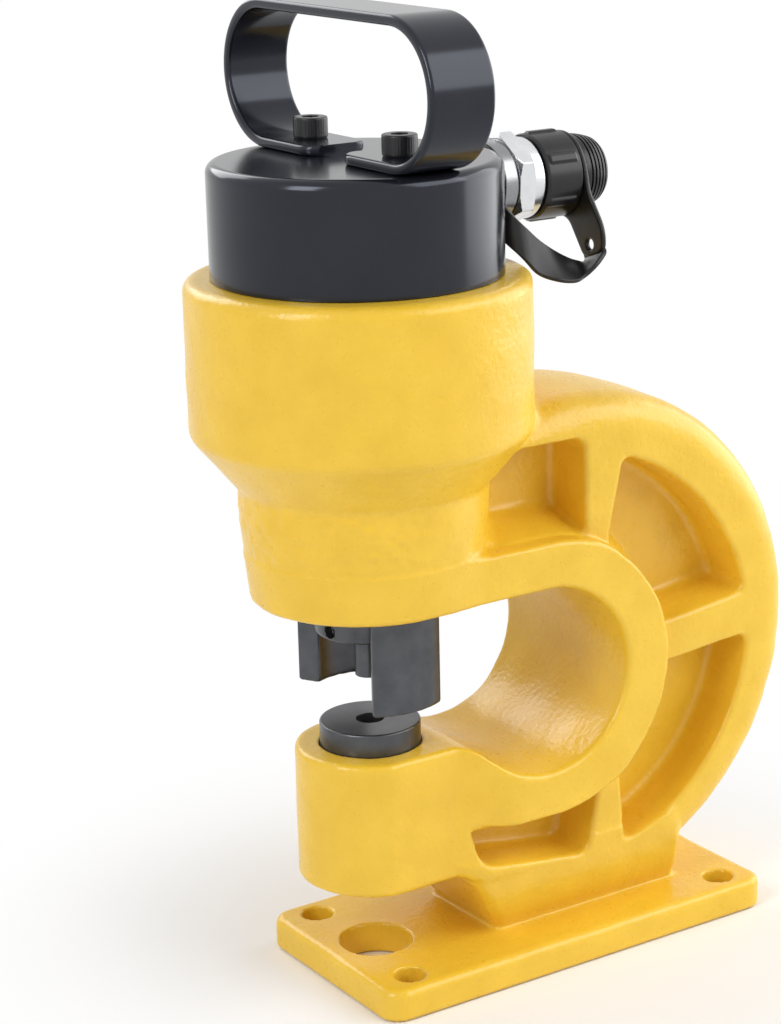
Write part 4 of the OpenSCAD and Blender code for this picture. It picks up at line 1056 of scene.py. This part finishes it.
def stripper_field(u, y, z):
    """A ring in the neck and two legs: sectors between two radii, with slightly broken edges."""
    wall_edge, leg_edge, end_edge, hole_edge, leg_into_ring = 1.0, 1.2, 0.5, 0.4, 2
    r, across = np.hypot(u, y), np.abs(y)
    wall = soft_max(r - leg_outer, leg_inner - r, wall_edge)
    sector = np.abs(u) * math.cos(leg_half_angle) - across * math.sin(leg_half_angle)
    ends = soft_max(leg_bottom - z, z - under_z - leg_into_ring, end_edge)
    leg = soft_max(soft_max(wall, sector, leg_edge), ends, leg_edge)
    ring = highest(r - stripper_ring_r, leg_inner - r, under_z - z, z - stripper_box[1, 2])
    bolts = np.hypot(np.abs(u) - bolt_circle_r, y)
    holes = np.minimum(bolts - bolt_hole_r, np.maximum(bolts - bolt_head_r, z - under_z - bolt_head_depth))
    return soft_max(np.minimum(leg, ring), -holes, hole_edge)


stripper_low, stripper_high = (-36, -36, leg_bottom - 2), (36, 36, stripper_box[1, 2] + 2)
stripper_step = 1.0
stripper_mesh = surface_net(stripper_field, stripper_low, stripper_high, stripper_step)
piece("stripper_legs", stripper_mesh, ["stripper"], tool_steel, crease=40)

# %% punch nut
nut_r, nut_low, nut_high = (nut_box[1, 0] - nut_box[0, 0]) / 2, nut_box[0, 2], nut_box[1, 2]
nut_bore_r, nut_floor, punch_hole_r = 15.05, 5, 5.55
pin_hole_r, pin_hole_rise, pin_hole_depth, pin_hole_turn = 2.7, 4.0, 4, math.radians(-168)


def nut_field(u, y, z):
    """A round nut with broken edges, a bore for the ram's thread, a punch hole and four side holes."""
    low_edge, top_edge, hole_edge = 2.0, 1.0, 0.6
    r = np.hypot(u, y)
    body = soft_max(soft_max(r - nut_r, nut_low - z, low_edge), z - nut_high, top_edge)
    bore = np.minimum(np.maximum(r - nut_bore_r, nut_low + nut_floor - z), r - punch_hole_r)
    a = u * math.cos(pin_hole_turn) + y * math.sin(pin_hole_turn)
    b = y * math.cos(pin_hole_turn) - u * math.sin(pin_hole_turn)
    rise = z - nut_low - pin_hole_rise
    holes = np.minimum(np.hypot(a, rise), np.hypot(b, rise)) - pin_hole_r
    holes = np.maximum(holes, nut_r - pin_hole_depth - r)
    return soft_max(body, -np.minimum(bore, holes), hole_edge)


nut_from, nut_to, nut_step = (-22, -22, nut_low - 1.5), (22, 22, nut_high + 1.5), 0.7
nut_mesh = surface_net(nut_field, nut_from, nut_to, nut_step)
piece("clamp_nut", nut_mesh, ["punch_nut"], tool_steel, crease=40)

# %% punch and die
punch_low, punch_high = cad_box("punch")[:, 2]
collar_low, shank_r, punch_head_r = punch_high - 5.5, 5.25, 10.0
punch_profile = rounded([(0, punch_low, 0), (shank_r, punch_low, 0.15), (shank_r, collar_low, 0.5),
                         (punch_head_r, collar_low, 0.4), (punch_head_r, punch_high, 0.4),
                         (0, punch_high, 0)])
piece("punch_pin", turned(punch_profile), ["punch"], tool_steel, crease=45)
die_low, die_high = die_box[:, 2]
die_r, die_hole_r, slug_r, land_end = 19.95, 5.55, 7.55, die_high - 8
die_profile = rounded([(slug_r, die_low, 0.3), (die_r, die_low, 0.8), (die_r, die_high, 0.8),
                       (die_hole_r, die_high, 0.2), (die_hole_r, land_end, 0.2), (slug_r, land_end, 0.2)],
                      closed=True)
piece("die_button", turned(die_profile, closed=True), ["die"], tool_steel, crease=45)

# %% [markdown]
# ## Studio
# The tool stands on a pale floor in front of white, under soft light. Large area lamps give the long
# quiet highlights on the black cylinder. The camera stands where the view of the tool is the familiar
# three-quarter one: from the front left, a little above.

# %% camera
AZIMUTH, ELEVATION, ROLL = math.radians(33.89), math.radians(17.90), math.radians(-1.03)
camera_place = np.array([-504.2 + axis_x, -802.8, 468.0]) * MM
focal_px, centre_px, image_px = 2575.5, (441.6, 586.5), (781, 1024)


def stand(obj, right, up, back, place):
    """Puts an object at a place with its X, Y and Z axes along right, up and back."""
    obj.matrix_world = Matrix([[right[k], up[k], back[k], place[k]] for k in range(3)] + [[0, 0, 0, 1]])


back = np.array([-math.sin(AZIMUTH) * math.cos(ELEVATION), -math.cos(AZIMUTH) * math.cos(ELEVATION),
                 math.sin(ELEVATION)])
right = np.cross(-back, [0, 0, 1])
right /= np.linalg.norm(right)
up = np.cross(right, -back)
right, up = (math.cos(ROLL) * right + math.sin(ROLL) * up, -math.sin(ROLL) * right + math.cos(ROLL) * up)
camera = in_scene("camera", bpy.data.cameras.new("camera"))
stand(camera, right, up, back, camera_place)
camera.data.sensor_width = 36.0
camera.data.lens = focal_px / max(image_px) * camera.data.sensor_width
camera.data.shift_x = (image_px[0] / 2 - centre_px[0]) / max(image_px)
camera.data.shift_y = (centre_px[1] - image_px[1] / 2) / max(image_px)
camera.data.clip_start, camera.data.clip_end = 0.01, 20.0
bpy.context.scene.camera = camera
print("lens", round(camera.data.lens, 2), "mm")


# %% [markdown]
# White paper round the tool would light it from every side and wash its shadows out. So the floor far
# away and the world are white only where they are seen, straight or in a reflection, and the light that
# falls on the tool comes from the lamps and a dim sky.

# %% what is seen and what gives light
def seen_directly(tree):
    """1 for rays from the camera, or by way of a reflection or glass, and 0 for light on the object."""
    rays = tree.nodes.new("ShaderNodeLightPath")
    either, any_ray = tree.nodes.new("ShaderNodeMath"), tree.nodes.new("ShaderNodeMath")
    either.operation = any_ray.operation = "MAXIMUM"
    link(tree, rays.outputs["Is Camera Ray"], either.inputs[0])
    link(tree, rays.outputs["Is Glossy Ray"], either.inputs[1])
    link(tree, either.outputs[0], any_ray.inputs[0])
    link(tree, rays.outputs["Is Transmission Ray"], any_ray.inputs[1])
    return any_ray.outputs[0]


def show_mix(tree, factor, lit, seen, output):
    """Mixes two shaders by a factor, the second where it is 1, and sends them to the output node."""
    pick = tree.nodes.new("ShaderNodeMixShader")
    for socket, source in zip(pick.inputs, (factor, lit.outputs[0], seen.outputs[0])):
        link(tree, source, socket)
    link(tree, pick.outputs[0], tree.nodes[output].inputs["Surface"])


# %% floor
floor_half, floor_drop, fade_start, fade_end = 9, 0.0004, 0.10, 0.25
floor_mesh = bpy.data.meshes.new("floor")
floor_mesh.from_pydata([(x * floor_half, y * floor_half, -floor_drop) for x, y in square], [], [(0, 1, 2, 3)])
floor_paint = bpy.data.materials.new("floor_paint")
floor_paint.use_nodes = True
tree = floor_paint.node_tree
paper = tree.nodes["Principled BSDF"]
set_inputs(paper, {"Base Color": (0.9, 0.9, 0.9, 1), "Roughness": 0.8})
kinds = ("TexCoord", "VectorMath", "MapRange", "Emission", "Math")
place, distance, fade, glow, near_or_far = [tree.nodes.new("ShaderNode" + kind) for kind in kinds]
distance.operation, near_or_far.operation, fade.interpolation_type = "LENGTH", "MULTIPLY", "SMOOTHSTEP"
set_inputs(fade, {"From Min": fade_start, "From Max": fade_end})
link(tree, place.outputs["Object"], distance.inputs[0])
link(tree, distance.outputs["Value"], fade.inputs["Value"])
link(tree, fade.outputs["Result"], near_or_far.inputs[0])
link(tree, seen_directly(tree), near_or_far.inputs[1])
show_mix(tree, near_or_far.outputs[0], paper, glow, "Material Output")
floor_mesh.materials.append(floor_paint)
floor = in_scene("floor", floor_mesh)
print("laid a floor", 2 * floor_half, "m wide")

# %% world
world = bpy.data.worlds.new("studio")
bpy.context.scene.world = world
world.use_nodes = True
tree = world.node_tree
sky, white = tree.nodes["Background"], tree.nodes.new("ShaderNodeBackground")
set_inputs(sky, {"Color": (0.9, 0.92, 0.95, 1), "Strength": 0.36})
set_inputs(white, {"Color": (1, 1, 1, 1)})
show_mix(tree, seen_directly(tree), sky, white, "World Output")
print("made the world", world.name)


# %% lamps
def area_lamp(name, place, aim, size, power):
    """A rectangular soft lamp at place that points at aim."""
    data = bpy.data.lights.new(name, "AREA")
    data.shape, data.size, data.size_y = "RECTANGLE", size[0], size[1]
    data.energy = power
    z = np.array(place, float) - np.array(aim, float)
    z /= np.linalg.norm(z)
    x = np.cross([0, 0, 1], z)
    x /= np.linalg.norm(x)
    stand(in_scene(name, data), x, np.cross(z, x), z, place)


aim = (0.0, 0.0, 0.18)
area_lamp("key", (0.95, -1.3, 1.2), aim, (1.6, 1.4), 20.5)
area_lamp("left", (-1.45, -0.4, 1.0), aim, (0.6, 1.0), 13)
area_lamp("right", (1.25, -0.2, 0.55), (0, 0, 0.3), (1.2, 1.1), 10)
area_lamp("rim", (-0.2, 1.3, 1.0), aim, (0.9, 0.8), 8)
area_lamp("top", (0.0, 0.0, 1.8), aim, (1.5, 1.5), 14)
bpy.context.scene.view_settings.view_transform = "Standard"
